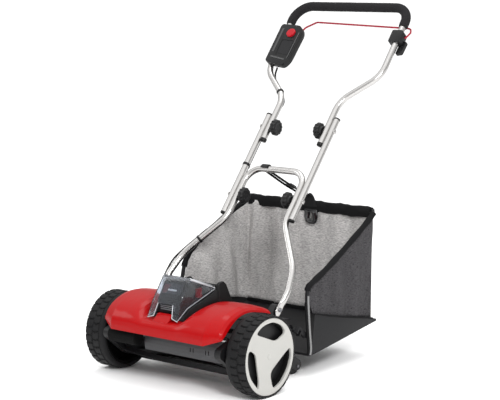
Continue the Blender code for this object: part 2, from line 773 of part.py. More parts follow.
def switch_box(parent, button_parent):
    """Switch housing clamped on the left leg, with the round safety button in its front."""
    outline = [
        (-0.2240, -0.0120), (-0.1460, -0.0180), (-0.1310, -0.0450), (-0.1330, -0.1680),
        (-0.2225, -0.1500),
    ]
    housing = piece("switch_box", prism(outline, on_handle, -0.0165, 0.0205), black_plastic(), parent)
    tube_path = handle_points([(-TOP_X, 0.05), (-TOP_X, -0.163)])
    tube_space = swept(tube_path, even(tube_path, TUBE_R + 0.0005), 12, SLOPE_NORMAL)
    tube_hole = tool("box_tube_hole", tube_space, parent)
    slot_outline = rectangle(-0.1670, -0.0560, -0.1570, 0.0100)
    slot = tool("box_slot", prism(slot_outline, on_handle, -0.03, 0.0030), parent)
    pivot = on_handle(0, BAIL_PIVOT_S, BAIL_PIVOT_N)
    bore = tool("box_bore", bar_x(pivot.y, pivot.z, 0.0034, -0.1620, -0.1500, 12), parent)
    button_x, button_s = BUTTON_PLACE
    well = tool("box_well", disc_stack(button_x, button_s, [(0.0060, 0.0160), (0.0300, 0.0160)]), parent)
    boolean(housing, "DIFFERENCE", tube_hole, slot, bore, well)
    button = disc_stack(button_x, button_s, [(0.0115, 0.0155), (0.0225, 0.0155), (0.0245, 0.0125)])
    piece("safety_button", button, red_plastic(), button_parent)


def rectangle(u0, v0, u1, v1):
    return [(u0, v0), (u1, v0), (u1, v1), (u0, v1)]


def disc_stack(x, s, levels, steps=24):
    """A round solid standing off the handle's plane: (n, radius) from its back to its front."""
    bm = bmesh.new()
    rings = []
    for n, radius in levels:
        turns = [2 * math.pi * k / steps for k in range(steps)]
        points = [on_handle(x + radius * math.cos(t), s + radius * math.sin(t), n) for t in turns]
        rings.append([bm.verts.new(p) for p in points])
    bm.faces.new(rings[0][::-1])
    bm.faces.new(rings[-1])
    for a, b in zip(rings, rings[1:]):
        for k in range(steps):
            j = (k + 1) % steps
            bm.faces.new((a[k], a[j], b[j], b[k]))
    return bm


def bail(parent, bracket_parent):
    """Red wire bail, with the black bracket that holds its right end."""
    left_x, right_x = -0.1620, 0.2315
    back = -0.0195
    corners = handle_points([
        (-0.1545, BAIL_PIVOT_S, BAIL_PIVOT_N), (left_x, BAIL_PIVOT_S, BAIL_PIVOT_N),
        (left_x, 0.0040, back),
        (-0.1280, 0.0250, back), (0.1850, 0.0120, back), (right_x, 0.0060, back),
        (right_x, BAIL_PIVOT_S, BAIL_PIVOT_N), (0.2235, BAIL_PIVOT_S, BAIL_PIVOT_N),
    ])
    path = bend(corners, 0.005, 3)
    piece("bail_lever", transported(path, 0.0027, 8), red_metal(), parent)
    outline = rectangle(0.1900, -0.0600, 0.2275, -0.0200)
    block = prism(outline, on_handle, -0.0140, 0.0140)
    bracket = piece("bail_bracket", block, black_plastic(), bracket_parent)
    tube_path = handle_points([(TOP_X, 0.05), (TOP_X, -0.15)])
    tube_space = swept(tube_path, even(tube_path, TUBE_R + 0.0005), 12, SLOPE_NORMAL)
    tube_hole = tool("bracket_tube_hole", tube_space, bracket_parent)
    pivot = on_handle(0, BAIL_PIVOT_S, BAIL_PIVOT_N)
    bore = tool("bracket_bore", bar_x(pivot.y, pivot.z, 0.0034, 0.2225, 0.2400, 12), bracket_parent)
    boolean(bracket, "DIFFERENCE", tube_hole, bore)


def transported(path, radius, sides):
    """A round bar along a line that bends in more than one plane."""
    bm = bmesh.new()
    ahead = (path[1] - path[0]).normalized()
    side = ahead.orthogonal().normalized()
    rings = []
    for i, point in enumerate(path):
        new_ahead = (path[min(i + 1, len(path) - 1)] - path[max(i - 1, 0)]).normalized()
        side = ahead.rotation_difference(new_ahead) @ side
        ahead = new_ahead
        top = ahead.cross(side)
        turns = [2 * math.pi * k / sides for k in range(sides)]
        points = [point + radius * (side * math.cos(t) + top * math.sin(t)) for t in turns]
        rings.append([bm.verts.new(p) for p in points])
    bm.faces.new(rings[0])
    bm.faces.new(rings[-1])
    for a, b in zip(rings, rings[1:]):
        for k in range(sides):
            j = (k + 1) % sides
            bm.faces.new((a[k], a[j], b[j], b[k]))
    return bm


CABLE_R = 0.0028
CABLE_N = -(TUBE_R + CABLE_R + 0.0006)
CABLE_ROUTES = {
    "cable_upper": [
        (-0.1890, -0.1650, -0.0120), (-0.1850, -0.1880, CABLE_N), (-0.1600, -0.2240, CABLE_N),
        (-0.1250, -0.2560, CABLE_N), (-0.1060, -0.2850, CABLE_N), (-0.1110, -0.3200, CABLE_N),
    ],
    "cable_middle": [
        (-0.1112, -0.3206, CABLE_N), (-0.1225, -0.3500, CABLE_N), (SIDE_TUBE_X * -1, -0.4000, CABLE_N),
        (SIDE_TUBE_X * -1, -0.5500, CABLE_N), (SIDE_TUBE_X * -1, -0.6500, CABLE_N),
        (-0.1245, -0.7010, CABLE_N),
    ],
    "cable_lower": [
        (-0.1246, -0.7017, CABLE_N), (-0.1300, -0.7210, -0.0110), (-0.1560, -0.7450, -0.0040),
        (-0.1800, -0.7860, 0.0), (-0.2060, -0.8240, 0.0), (-0.2250, -0.8600, 0.0), (-0.2300, -0.9000, 0.0),
        (-0.2300, -0.9350, -0.0050), (-0.2240, -0.9560, -0.0190), (-0.2100, -0.9640, -0.0270),
        (-0.2030, -0.9660, -0.0190),
    ],
}


def smooth_line(points, spacing):
    """Points read from a curve that passes through the route's own points."""
    ends = [2 * points[0] - points[1], *points, 2 * points[-1] - points[-2]]
    line = [points[0]]
    for before, a, b, after in zip(ends, ends[1:], ends[2:], ends[3:]):
        steps = max(1, round((b - a).length / spacing))
        for k in range(1, steps + 1):
            t = k / steps
            line.append(
                0.5 * (2 * a + (b - before) * t + (2 * before - 5 * a + 4 * b - after) * t**2
                       + (3 * a - before - 3 * b + after) * t**3)
            )
    return line


def cable(name, parent):
    """One length of the power cable, which the tubes carry all the way."""
    route = smooth_line(handle_points(CABLE_ROUTES[name]), 0.013)
    curve = bpy.data.curves.new(name, "CURVE")
    curve.dimensions = "3D"
    curve.bevel_depth = CABLE_R
    curve.bevel_resolution = 2
    curve.use_fill_caps = True
    spline = curve.splines.new("POLY")
    spline.points.add(len(route) - 1)
    for point, place in zip(spline.points, route):
        point.co = (*(place - Vector(parent["place"])), 1)
    curve.materials.append(black_plastic())
    obj = bpy.data.objects.new(name, curve)
    bpy.context.scene.collection.objects.link(obj)
    obj.parent = parent


# Grass bag ---------------------------------------------------------------------------------------

def bag_frame(parent):
    """One bent tube: uprights, diagonals and top bar, with a hook for each of the mower's pins."""
    corners = [Vector((BAG_X, *BAG_FOOT)), Vector((BAG_X, *BAG_BEND)), Vector((BAG_X, *BAG_TOP))]
    corners += [Vector((-p.x, p.y, p.z)) for p in reversed(corners)]
    line = bend(corners, 0.022, 4)
    frame = piece("bag_frame", transported(line, 0.0060, 8), black_steel(), parent)
    for name, side in SIDES:
        hook = tool(f"bag_hook_{name}", prism(HOOK, hook_place, *side_x(side, 0.2150, 0.2320)), parent)
        boolean(frame, "UNION", hook)


HOOK = [
    (-0.0100, -0.0100), (0.0120, -0.0100), (0.0140, 0.0385), (0.0000, 0.0385), (-0.0020, 0.0100),
    (-0.0100, 0.0100), (-0.0100, 0.0048), (0.0048, 0.0048), (0.0048, -0.0048), (-0.0100, -0.0048),
]


def hook_place(u, v, w):
    """u runs the way the bag lifts off, v away from the mower."""
    return Vector((w, *BAG_PIN)) + u * SLOPE_DIR - v * SLOPE_NORMAL


BAG_FLOOR = [(0.2450, 0.0575), (0.5730, 0.1000)]
SEAM_FRONT, SEAM_REAR = (0.2660, 0.1735), (0.5730, 0.1080)
TRAY_HALF = 0.2405


def bag_tray(parent):
    """Stiff black floor with a wing up each side and a low lip behind."""
    bm = bmesh.new()
    front_foot = (0.2570, 0.0591)
    ring = {}
    for name, side in SIDES:
        x = side * TRAY_HALF
        for key, (y, z) in {
            "front": BAG_FLOOR[0], "foot": front_foot, "rear": BAG_FLOOR[1],
            "seam_rear": SEAM_REAR, "seam_front": SEAM_FRONT,
        }.items():
            ring[name, key] = bm.verts.new((x, y, z))
        bm.faces.new([ring[name, key] for key in ("foot", "rear", "seam_rear", "seam_front")])
    for a, b in (("front", "foot"), ("foot", "rear"), ("rear", "seam_rear")):
        bm.faces.new([ring["left", a], ring["right", a], ring["right", b], ring["left", b]])
    tray = piece("bag_tray", bm, black_plastic(), parent)
    face_in(tray)
    thicken(tray, 0.0025)


def face_in(obj):
    """Turns the tray's sheet so that its wall grows inwards: its floor looks down."""
    down = sum(p.normal.z * p.area for p in obj.data.polygons)
    if down > 0:
        obj.data.flip_normals()


def share(a, b, t):
    """The (y, z) point a share t of the way from a to b."""
    return (a[0] + (b[0] - a[0]) * t, a[1] + (b[1] - a[1]) * t)


def bag_fabric(parent):
    """Mesh walls: two sides and a back, one thin sheet hung inside the frame."""
    half = 0.2325
    inset = 0.0085
    top_rear = (BAG_TOP[0] + 0.004, BAG_TOP[1] - inset - 0.004)
    bend_in = (BAG_BEND[0] + inset + 0.004, BAG_BEND[1] - inset)
    low_front = (BAG_FOOT[0] + inset, 0.0720)
    low_rear = (0.5670, 0.1120)
    bm = bmesh.new()
    columns = [bend_in, top_rear]
    feet = [low_front, low_rear]
    grid = []
    steps = 4
    for k in range(steps + 1):
        row = []
        for side in (-1, 1):
            spans = range(5) if side < 0 else range(4, -1, -1)
            for j in spans:
                a = share(*columns, j / 4)
                b = share(*feet, j / 4)
                t = k / steps
                row.append(bm.verts.new((side * half, *share(a, b, t))))
        grid.append(row)
    for a, b in zip(grid, grid[1:]):
        for k in range(len(a) - 1):
            bm.faces.new((a[k], a[k + 1], b[k + 1], b[k]))
    fabric = piece("bag_fabric", bm, mesh_fabric(), parent)
    thicken(fabric, 0.0020)


def bag_strap(parent):
    """Webbing from the bag's top bar, with a hook bent over the handle's arch."""
    arch = on_handle(0, -0.528)
    inner, outer = 0.0115, 0.0140
    slope = math.degrees(HANDLE_SLOPE)
    over = [math.radians(slope + 100 - 100 * k / 6) for k in range(7)]
    out = [(arch.y + outer * math.cos(t), arch.z + outer * math.sin(t)) for t in over]
    back = [(arch.y + inner * math.cos(t), arch.z + inner * math.sin(t)) for t in reversed(over)]
    end_top, end_low = (0.5520, 0.4470), (0.5500, 0.4445)
    band = prism(out + [end_top, end_low] + back, along_x, -0.0520, -0.0280)
    piece("bag_strap", band, black_plastic(), parent)


# Assembly -----------------------------------------------------------------------------------------

def build():
    clear_scene()
    mower = axis_empty("mower", ORIGIN, None)
    mower.location = (0, -(FRONT_Y + REAR_Y) / 2, 0)
    upper_place = on_handle(0, UPPER_PIVOT_S)
    lower_place = on_handle(0, LOWER_PIVOT_S)
    wheel_axes = {}
    for name, side in SIDES:
        place = Vector((side * 0.25, 0, WHEEL_R))
        wheel_axes[name] = axis_empty(f"wheel_{name}_axis", place, mower)
    reel_axis = axis_empty("reel_axis", Vector((0, REEL_Y, REEL_Z)), mower)
    motor_axis = axis_empty("motor_axis", Vector((-0.2, MOTOR_Y, MOTOR_Z)), mower)
    arm_axis = axis_empty("roller_arm_axis", Vector((0, ARM_PIVOT_Y, ARM_PIVOT_Z)), mower)
    roller_axis = axis_empty("roller_axis", Vector((0, ROLLER_Y, ROLLER_R)), arm_axis)
    lid_axis = axis_empty("lid_axis", Vector((0, LID_PIVOT_Y, LID_PIVOT_Z)), mower)
    release_axis = axis_empty("release_axis", Vector((0.04, BUTTON_Y, BUTTON_Z)), mower)
    lower_axis = axis_empty("lower_fold_axis", lower_place, mower)
    upper_axis = axis_empty("upper_fold_axis", upper_place, lower_axis)
    bail_axis = axis_empty("bail_axis", on_handle(0, BAIL_PIVOT_S, BAIL_PIVOT_N), upper_axis)
    button_axis = axis_empty("safety_button_axis", on_handle(*BUTTON_PLACE, 0.02), upper_axis)
    bag_axis = axis_empty("bag_lift_axis", Vector((0, *BAG_PIN)), mower)

    for name, side in SIDES:
        side_plate(name, side, mower)
        side_casing(name, side, mower)
        axle(name, side, mower)
        bearing(name, side, mower)
        tyre(name, side, wheel_axes[name])
        wheel_rim(name, side, wheel_axes[name])
        hub_cap(name, side, wheel_axes[name])
    reel_cover(mower)
    front_guard(mower)
    rear_deflector(mower)
    bed_knife(mower)
    motor(mower, motor_axis)
    drive_belt(mower)
    reel(reel_axis)
    roller_set(arm_axis, roller_axis)
    battery_housing(mower)
    battery(mower, release_axis)
    battery_lid(lid_axis)

    lower_cut = tool("lower_pivot_cut", bar_x(lower_place.y, lower_place.z, 0.0036, -0.2, 0.2, 12), mower)
    upper_cut = tool("upper_pivot_cut", bar_x(upper_place.y, upper_place.z, 0.0036, -0.2, 0.2, 12), mower)
    lower_handle(mower, lower_cut)
    upper_handle(upper_axis, upper_cut)
    foam_grip(upper_axis)
    for name, side in SIDES:
        side_tube(name, side, lower_axis, (lower_cut, upper_cut))
        out = Vector((side * 0.08, 0, 0))
        lower_knob = axis_empty(f"lower_knob_{name}_axis", lower_place + out, mower)
        upper_knob = axis_empty(f"upper_knob_{name}_axis", upper_place + out, lower_axis)
        knob(f"lower_knob_{name}", LOWER_PIVOT_S, side, lower_knob)
        knob(f"upper_knob_{name}", UPPER_PIVOT_S, side, upper_knob)
    switch_box(upper_axis, button_axis)
    bail(bail_axis, upper_axis)
    cable("cable_upper", upper_axis)
    cable("cable_middle", lower_axis)
    cable("cable_lower", mower)
    bag_frame(bag_axis)
    bag_tray(bag_axis)
    bag_fabric(bag_axis)
    bag_strap(bag_axis)


build()
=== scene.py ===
"""Looks of the cordless reel mower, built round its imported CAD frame."""

import math

import bmesh
import bpy
from mathutils import Matrix, Vector, noise


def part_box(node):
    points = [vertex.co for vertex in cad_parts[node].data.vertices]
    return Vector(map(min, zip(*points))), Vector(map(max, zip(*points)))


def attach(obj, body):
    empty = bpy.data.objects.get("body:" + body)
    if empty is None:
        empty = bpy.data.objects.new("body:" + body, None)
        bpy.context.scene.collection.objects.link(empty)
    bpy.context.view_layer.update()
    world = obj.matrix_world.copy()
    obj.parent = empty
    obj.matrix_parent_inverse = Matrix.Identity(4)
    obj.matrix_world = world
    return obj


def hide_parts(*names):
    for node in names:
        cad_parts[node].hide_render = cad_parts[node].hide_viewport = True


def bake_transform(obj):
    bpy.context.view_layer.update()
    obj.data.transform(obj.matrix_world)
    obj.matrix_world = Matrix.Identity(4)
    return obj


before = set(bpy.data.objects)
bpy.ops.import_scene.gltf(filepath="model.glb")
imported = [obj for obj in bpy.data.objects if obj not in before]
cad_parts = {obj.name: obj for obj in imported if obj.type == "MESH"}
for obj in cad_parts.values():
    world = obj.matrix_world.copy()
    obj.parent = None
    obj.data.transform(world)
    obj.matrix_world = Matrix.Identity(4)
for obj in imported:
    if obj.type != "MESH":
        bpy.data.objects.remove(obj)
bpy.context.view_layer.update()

# Shared dimensions, in metres, in the axle frame: its origin is on the ground below the axle.
WHEEL_R = 0.11
WHEEL_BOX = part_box("tyre_right")
SHIFT = (WHEEL_BOX[0].y + WHEEL_BOX[1].y) / 2
SLOPE = math.radians(51)
ALONG = Vector((0, math.cos(SLOPE), math.sin(SLOPE)))
OFF = Vector((0, -math.sin(SLOPE), math.cos(SLOPE)))
HANDLE = Vector((0, 0.7405 + SHIFT, 0.9557))
TUBE_R = 0.0095
SIDES = (("left", -1), ("right", 1))


def at(x, y, z):
    """A point given in the axle frame."""
    return Vector((x, y + SHIFT, z))


def on_handle(x, s, n=0.0):
    """A point of the handle's plane: s runs up the slope and n stands off its front."""
    return HANDLE + Vector((x, 0, 0)) + s * ALONG + n * OFF


# Materials ---------------------------------------------------------------------------------

def add(mat, kind, **values):
    """A new shader node with values for its sockets."""
    node = mat.node_tree.nodes.new("ShaderNode" + kind)
    for socket, value in values.items():
        node.inputs[socket.replace("_", " ")].default_value = value
    return node


def two_tone(mat, dark, light, low, high):
    """A ramp from a dark colour at low to a light one at high."""
    ramp = add(mat, "ValToRGB")
    for stop, place, colour in zip(ramp.color_ramp.elements, (low, high), (dark, light)):
        stop.position = place
        stop.color = (*colour, 1)
    return ramp


def material(name, colour, roughness, metallic=0.0, bump=0.0, scale=200.0, vary=0.0, **more):
    """A Principled finish with a fine noise in its surface and, with vary, in its colour."""
    mat = bpy.data.materials.new(name)
    mat.use_nodes = True
    links = mat.node_tree.links
    shader = mat.node_tree.nodes["Principled BSDF"]
    shader.inputs["Base Color"].default_value = (*colour, 1)
    shader.inputs["Roughness"].default_value = roughness
    shader.inputs["Metallic"].default_value = metallic
    for socket, value in more.items():
        shader.inputs[socket.replace("_", " ")].default_value = value
    if bump or vary:
        grain = add(mat, "TexNoise", Scale=scale, Detail=4)
        links.new(add(mat, "TexCoord").outputs["Object"], grain.inputs["Vector"])
    if bump:
        relief = add(mat, "Bump", Strength=bump, Distance=0.001)
        links.new(grain.outputs["Fac"], relief.inputs["Height"])
        links.new(relief.outputs["Normal"], shader.inputs["Normal"])
    if vary:
        dark = [c * (1 - vary) for c in colour]
        light = [min(1, c * (1 + vary)) for c in colour]
        ramp = two_tone(mat, dark, light, 0.35, 0.65)
        links.new(grain.outputs["Fac"], ramp.inputs["Fac"])
        links.new(ramp.outputs["Color"], shader.inputs["Base Color"])
    return mat


def woven(name, light, dark, cover):
    """Open mesh cloth: fine threads, mostly across, with some light let through, and soft upright streaks of
    painted shade for its folds.
    """
    mat = material(name, light, 0.85, Specular_IOR_Level=0.15)
    links = mat.node_tree.links
    shader = mat.node_tree.nodes["Principled BSDF"]
    place = add(mat, "TexCoord")

    def stretched_noise(scale, detail, turn=(0, 0, 0)):
        stretch = add(mat, "Mapping", Scale=scale, Rotation=turn)
        grain = add(mat, "TexNoise", Scale=1.0, Detail=detail)
        links.new(place.outputs["Object"], stretch.inputs["Vector"])
        links.new(stretch.outputs["Vector"], grain.inputs["Vector"])
        return grain.outputs["Fac"]

    threads = stretched_noise((130, 130, 640), 3)
    # Painted shade: a slow noise, stretched upright, darkens the colour in soft streaks that stand in for the
    # shade in the cloth's folds.
    fold_shade_noise = stretched_noise((26, 26, 5), 1.5, (0.25, 0.12, 0))
    ramp = two_tone(mat, dark, light, 0.38, 0.6)
    shade = add(mat, "MapRange", From_Min=0.32, From_Max=0.58, To_Min=0.8, To_Max=1.0)
    see = add(mat, "MapRange", From_Min=0.35, From_Max=0.6, To_Min=cover, To_Max=1.0)
    mix = add(mat, "VectorMath")
    mix.operation = "SCALE"
    for out, into in (
        (threads, ramp.inputs["Fac"]), (fold_shade_noise, shade.inputs["Value"]), (threads, see.inputs["Value"]),
        (ramp.outputs["Color"], mix.inputs[0]), (shade.outputs["Result"], mix.inputs["Scale"]),
        (mix.outputs["Vector"], shader.inputs["Base Color"]), (see.outputs["Result"], shader.inputs["Alpha"]),
    ):
        links.new(out, into)
    return mat


LOW = {"Specular_IOR_Level": 0.25}
RED = material(
    "red_shell", (0.31, 0.001, 0.002), 0.4, bump=0.03, scale=60, Specular_IOR_Level=0.05, Coat_Weight=0.25,
    Coat_Roughness=0.1,
)
RED_CONTROL = material("red_control", (0.34, 0.003, 0.01), 0.3, bump=0.02, scale=80, **LOW)
RED_WIRE = material("red_wire", (0.26, 0.006, 0.02), 0.4, bump=0.05, scale=300, **LOW)
BLACK = material("black_moulding", (0.006, 0.006, 0.0065), 0.45, bump=0.12, scale=900, **LOW)
BLACK_GLOSS = material("black_gloss", (0.006, 0.006, 0.007), 0.16, bump=0.02, scale=60, Coat_Weight=0.6)
BLACK_STEEL = material("black_steel", (0.006, 0.006, 0.007), 0.55, bump=0.08, scale=500, **LOW)
# Painted shade: a darker, duller copy of the black moulding, for the motor under the cover and the wheels'
# inner bodies, which sit in shade.
SHADED_BLACK = material("black_inside", (0.004, 0.004, 0.004), 0.9, bump=0.05, scale=500, Specular_IOR_Level=0.1)
BLADE = material("blade_steel", (0.16, 0.16, 0.17), 0.38, 0.9, bump=0.05, scale=400, vary=0.1)
GUARD = material("guard_steel", (0.06, 0.06, 0.063), 0.5, 0.2, bump=0.05, scale=350, vary=0.05, **LOW)
TUBE = material("tube_aluminium", (0.5, 0.49, 0.48), 0.26, 1.0, bump=0.02, scale=700, vary=0.02)
SILVER = material(
    "silver_trim", (0.4, 0.395, 0.375), 0.5, bump=0.05, scale=600, vary=0.02, Specular_IOR_Level=0.35,
)
RUBBER = material(
    "tyre_rubber", (0.0065, 0.0065, 0.007), 0.55, bump=0.25, scale=700, vary=0.15, Specular_IOR_Level=0.15,
)
BELT = material("belt_rubber", (0.01, 0.01, 0.01), 0.8, bump=0.2, scale=500)
FOAM = material("foam", (0.014, 0.0135, 0.0145), 0.95, bump=0.5, scale=450, vary=0.3, Specular_IOR_Level=0.15)
CLEAR = material(
    "clear_lid", (0.62, 0.65, 0.7), 0.05, bump=0.01, scale=30, Transmission_Weight=0.975, IOR=1.3,
)
# Painted highlight: a paler, less clear copy of the lid's plastic, for strips along the visor's edges that
# stand in for the light they catch.
CLEAR_HIGHLIGHT = material(
    "clear_painted_highlight", (0.62, 0.64, 0.67), 0.15, bump=0.01, scale=40, Transmission_Weight=0.35, IOR=1.3,
)
MESH = woven("bag_mesh", (0.6, 0.585, 0.575), (0.36, 0.35, 0.345), 0.8)
MESH_DARK = woven("bag_mesh_dark", (0.062, 0.06, 0.063), (0.04, 0.038, 0.041), 0.85)
BINDING = material("binding", (0.005, 0.005, 0.0055), 0.85, bump=0.5, scale=500, Specular_IOR_Level=0.15)
TRAY = material("tray", (0.009, 0.009, 0.01), 0.6, bump=0.2, scale=300, vary=0.08, **LOW)
WEBBING = material("webbing", (0.006, 0.006, 0.0065), 0.8, bump=0.6, scale=800, **LOW)
LABEL = material("label_dark", (0.012, 0.012, 0.018), 0.35, bump=0.02, scale=100)
RIB = material("battery_rib", (0.16, 0.16, 0.17), 0.3, bump=0.02, scale=100)
LABEL_RED = material("label_red", (0.1, 0.004, 0.016), 0.3, bump=0.02, scale=100)
LABEL_PALE = material("label_pale", (0.8, 0.8, 0.8), 0.4, bump=0.02, scale=100)
FLOOR = material("floor", (0.96, 0.96, 0.96), 0.95, vary=0.004, scale=3, Specular_IOR_Level=0.1)
# Painted highlight: grey for a strip down each bag upright, standing in for the light along its middle.
UPRIGHT_HIGHLIGHT = material("bag_upright_metal", (0.2, 0.2, 0.2), 0.4, 0.5, bump=0.03, scale=500)

# The CAD slot that a finish stands for, where it isn't the finish's own name.
SLOT_OF = {
    "black_gloss": "black_moulding", "tray": "black_moulding", "label_dark": "black_moulding",
    "battery_rib": "black_moulding", "label_red": "red_control", "label_pale": "silver_trim",
    "bag_upright_metal": "tube_aluminium", "tyre_rubber": "tyre", "clear_painted_highlight": "clear_lid",
    "bag_mesh": "mesh", "bag_mesh_dark": "mesh", "binding": "webbing", "floor": None,
}


# Geometry ----------------------------------------------------------------------------------

def ease(obj, width, segments, angle):
    """Rounds the edges that turn by more than an angle in degrees."""
    edge = obj.modifiers.new("edge", "BEVEL")
    edge.width = width
    edge.segments = segments
    edge.limit_method = "ANGLE"
    edge.angle_limit = math.radians(angle)
    return edge


def make(name, bm, mat, body, replaces=(), smooth=40, bevel=0.0, segments=2, slot=None):
    """One piece in place, riding on a CAD body. The slot that its material stands for is looked up, unless
    one is given, but it is not used.
    """
    bmesh.ops.recalc_face_normals(bm, faces=bm.faces)
    mesh = bpy.data.meshes.new(name)
    bm.to_mesh(mesh)
    bm.free()
    mesh.shade_smooth()
    mesh.set_sharp_from_angle(angle=math.radians(smooth))
    mesh.materials.append(mat)
    obj = bpy.data.objects.new(name, mesh)
    bpy.context.scene.collection.objects.link(obj)
    if bevel:
        ease(obj, bevel, segments, 38).harden_normals = True
    if body:
        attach(obj, body)
    if replaces:
        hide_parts(*replaces)
    finish = mat.name.split(".")[0]  # Blender adds a number where the CAD has the same name
    slot = slot or SLOT_OF.get(finish, finish)
    return obj


def cut(obj, cutters):
    """Takes the cutters' shapes out of a piece, before its edges are rounded."""
    for k, bm in enumerate(cutters):
        bmesh.ops.recalc_face_normals(bm, faces=bm.faces)
        mesh = bpy.data.meshes.new(f"{obj.name}_cutter_{k}")
        bm.to_mesh(mesh)
        bm.free()
        other = bpy.data.objects.new(mesh.name, mesh)
        bpy.context.scene.collection.objects.link(other)
        modifier = obj.modifiers.new("cut", "BOOLEAN")
        modifier.operation = "DIFFERENCE"
        modifier.solver = "EXACT"
        modifier.object = other
    if obj.modifiers[0].type == "BEVEL":
        obj.modifiers.move(0, len(obj.modifiers) - 1)
    bpy.context.view_layer.update()
    graph = bpy.context.evaluated_depsgraph_get()
    made = bpy.data.meshes.new_from_object(obj.evaluated_get(graph))
    others = [m.object for m in obj.modifiers if m.type == "BOOLEAN"]
    obj.modifiers.clear()
    obj.data = made
    for other in others:
        bpy.data.objects.remove(other, do_unlink=True)
    made.shade_smooth()
    made.set_sharp_from_angle(angle=math.radians(35))
    return obj


def curve_points(points, steps):
    """A smooth line through the given points."""
    ends = [2 * points[0] - points[1], *points, 2 * points[-1] - points[-2]]
    line = [points[0]]
    for before, a, b, after in zip(ends, ends[1:], ends[2:], ends[3:]):
        for k in range(1, steps + 1):
            t = k / steps
            line.append(
                0.5 * (2 * a + (b - before) * t + (2 * before - 5 * a + 4 * b - after) * t**2
                       + (3 * a - before - 3 * b + after) * t**3)
            )
    return line


def bend(points, radii, steps=10):
    """The line through the points with each inner corner rounded to an arc of its own radius."""
    line = [points[0]]
    if not isinstance(radii, (list, tuple)):
        radii = [radii] * (len(points) - 2)
    for before, corner, after, radius in zip(points, points[1:], points[2:], radii):
        a = (corner - before).normalized()
        b = (after - corner).normalized()
        angle = a.angle(b)
        if angle < 1e-4:
            line.append(corner)
            continue
        reach = radius * math.tan(angle / 2)
        centre = corner + (b - a).normalized() * (radius / math.cos(angle / 2))
        start = corner - a * reach - centre
        axis = a.cross(b)
        for k in range(steps + 1):
            line.append(centre + Matrix.Rotation(angle * k / steps, 3, axis) @ start)
    line.append(points[-1])
    return line


def skin(bm, rings):
    """Faces between each ring of vertices and the next. A ring of one vertex is a pole."""
    for a, b in zip(rings, rings[1:]):
        steps = max(len(a), len(b))
        for k in range(steps):
            j = (k + 1) % steps
            if len(a) == 1:
                bm.faces.new((a[0], b[j], b[k]))
            elif len(b) == 1:
                bm.faces.new((a[k], a[j], b[0]))
            else:
                bm.faces.new((a[k], a[j], b[j], b[k]))


def tube(path, sizes, sides=24, up=None):
    """A bar along a path. sizes is one radius, or (half width, half height) at each point."""
    bm = bmesh.new()
    if not isinstance(sizes, (list, tuple)):
        sizes = [(sizes, sizes)] * len(path)
    ahead = (path[1] - path[0]).normalized()
    side = ahead.cross(up).normalized() if up else ahead.orthogonal().normalized()
    turns = [2 * math.pi * (k + 0.5) / sides for k in range(sides)]
    rings = []
    for i, (point, (w, h)) in enumerate(zip(path, sizes)):
        new = (path[min(i + 1, len(path) - 1)] - path[max(i - 1, 0)]).normalized()
        side = new.cross(up).normalized() if up else (ahead.rotation_difference(new) @ side).normalized()
        ahead = new
        top = side.cross(ahead)
        rings.append(
            [bm.verts.new(point + side * (w * math.cos(t)) + top * (h * math.sin(t))) for t in turns],
        )
    skin(bm, rings)
    bm.faces.new(rings[0][::-1])
    bm.faces.new(rings[-1])
    return bm


def lathe(profile, y, z, steps, side=1, lobes=0):
    """A solid turned about an X line. Its profile is (x, radius) or (x, radius, height of the
    lobes) and closes on itself. side is -1 for the left side of the machine."""
    bm = bmesh.new()
    turns = [2 * math.pi * k / steps for k in range(steps)]
    rings = []
    for x, radius, *lobe in profile:
        if radius == 0:
            rings.append([bm.verts.new(at(side * x, y, z))])
            continue
        ring = []
        for t in turns:
            r = radius + sum(lobe) * math.cos(lobes * t)
            ring.append(bm.verts.new(at(side * x, y + r * math.cos(t), z + r * math.sin(t))))
        rings.append(ring)
    skin(bm, rings if profile[0][1] == 0 else rings + rings[:1])
    return bm


def prism(outline, place, low, high):
    """A solid between two copies of an outline. place turns (u, v, w) into a point."""
    bm = bmesh.new()
    ends = [[bm.verts.new(place(u, v, w)) for u, v in outline] for w in (low, high)]
    bm.faces.new(ends[0][::-1])
    bm.faces.new(ends[1])
    skin(bm, ends)
    return bm


def along_x(u, v, w):
    """The place of a prism that runs across the machine, from a (y, z) outline."""
    return at(w, u, v)


def upright(u, v, w):
    """The place of a prism that faces the front, from an (x, z) outline."""
    return at(u, w, v)


def rect(u0, v0, u1, v1):
    return [(u0, v0), (u1, v0), (u1, v1), (u0, v1)]


def rounded(outline, radius, steps=4):
    """A closed outline with its corners rounded."""
    n = len(outline)
    made = []
    for k in range(n):
        a, c, b = (Vector(outline[(k + d) % n]).to_3d() for d in (-1, 0, 1))
        reach = min(radius, (a - c).length * 0.45, (b - c).length * 0.45)
        p, q = c + (a - c).normalized() * reach, c + (b - c).normalized() * reach
        for i in range(steps + 1):
            t = i / steps
            point = (1 - t) ** 2 * p + 2 * t * (1 - t) * c + t * t * q
            made.append((point.x, point.y))
    return made


def side_x(side, low, high):
    """The X range of a piece on one side, from its range on the right."""
    return (low, high) if side > 0 else (-high, -low)


def grid(rows):
    """A sheet through rows of points."""
    bm = bmesh.new()
    made = [[bm.verts.new(p) for p in row] for row in rows]
    for a, b in zip(made, made[1:]):
        for k in range(len(a) - 1):
            bm.faces.new((a[k], b[k], b[k + 1], a[k + 1]))
    return bm


def thicken(obj, wall, offset=-1.0):
    """Gives a sheet its wall: inwards, both ways for offset 0, or outwards for offset 1."""
    solid = obj.modifiers.new("wall", "SOLIDIFY")
    solid.thickness = wall
    solid.offset = offset
    solid.use_even_offset = True


def paint(node, mat, bevel=0.0):
    """A kept CAD node gets its own finish and, with bevel, rounded edges."""
    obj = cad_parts[node]
    obj.data.materials.clear()
    obj.data.materials.append(mat)
    if bevel:
        ease(obj, bevel, 2, 35)


# Wheels --------------------------------------------------------------------------------------

TREAD_ROWS = 30
ROW_STEPS = 12
TREAD_X, TREAD_WIDE = 0.238, 0.047
GROOVE_FLOOR = 0.1066


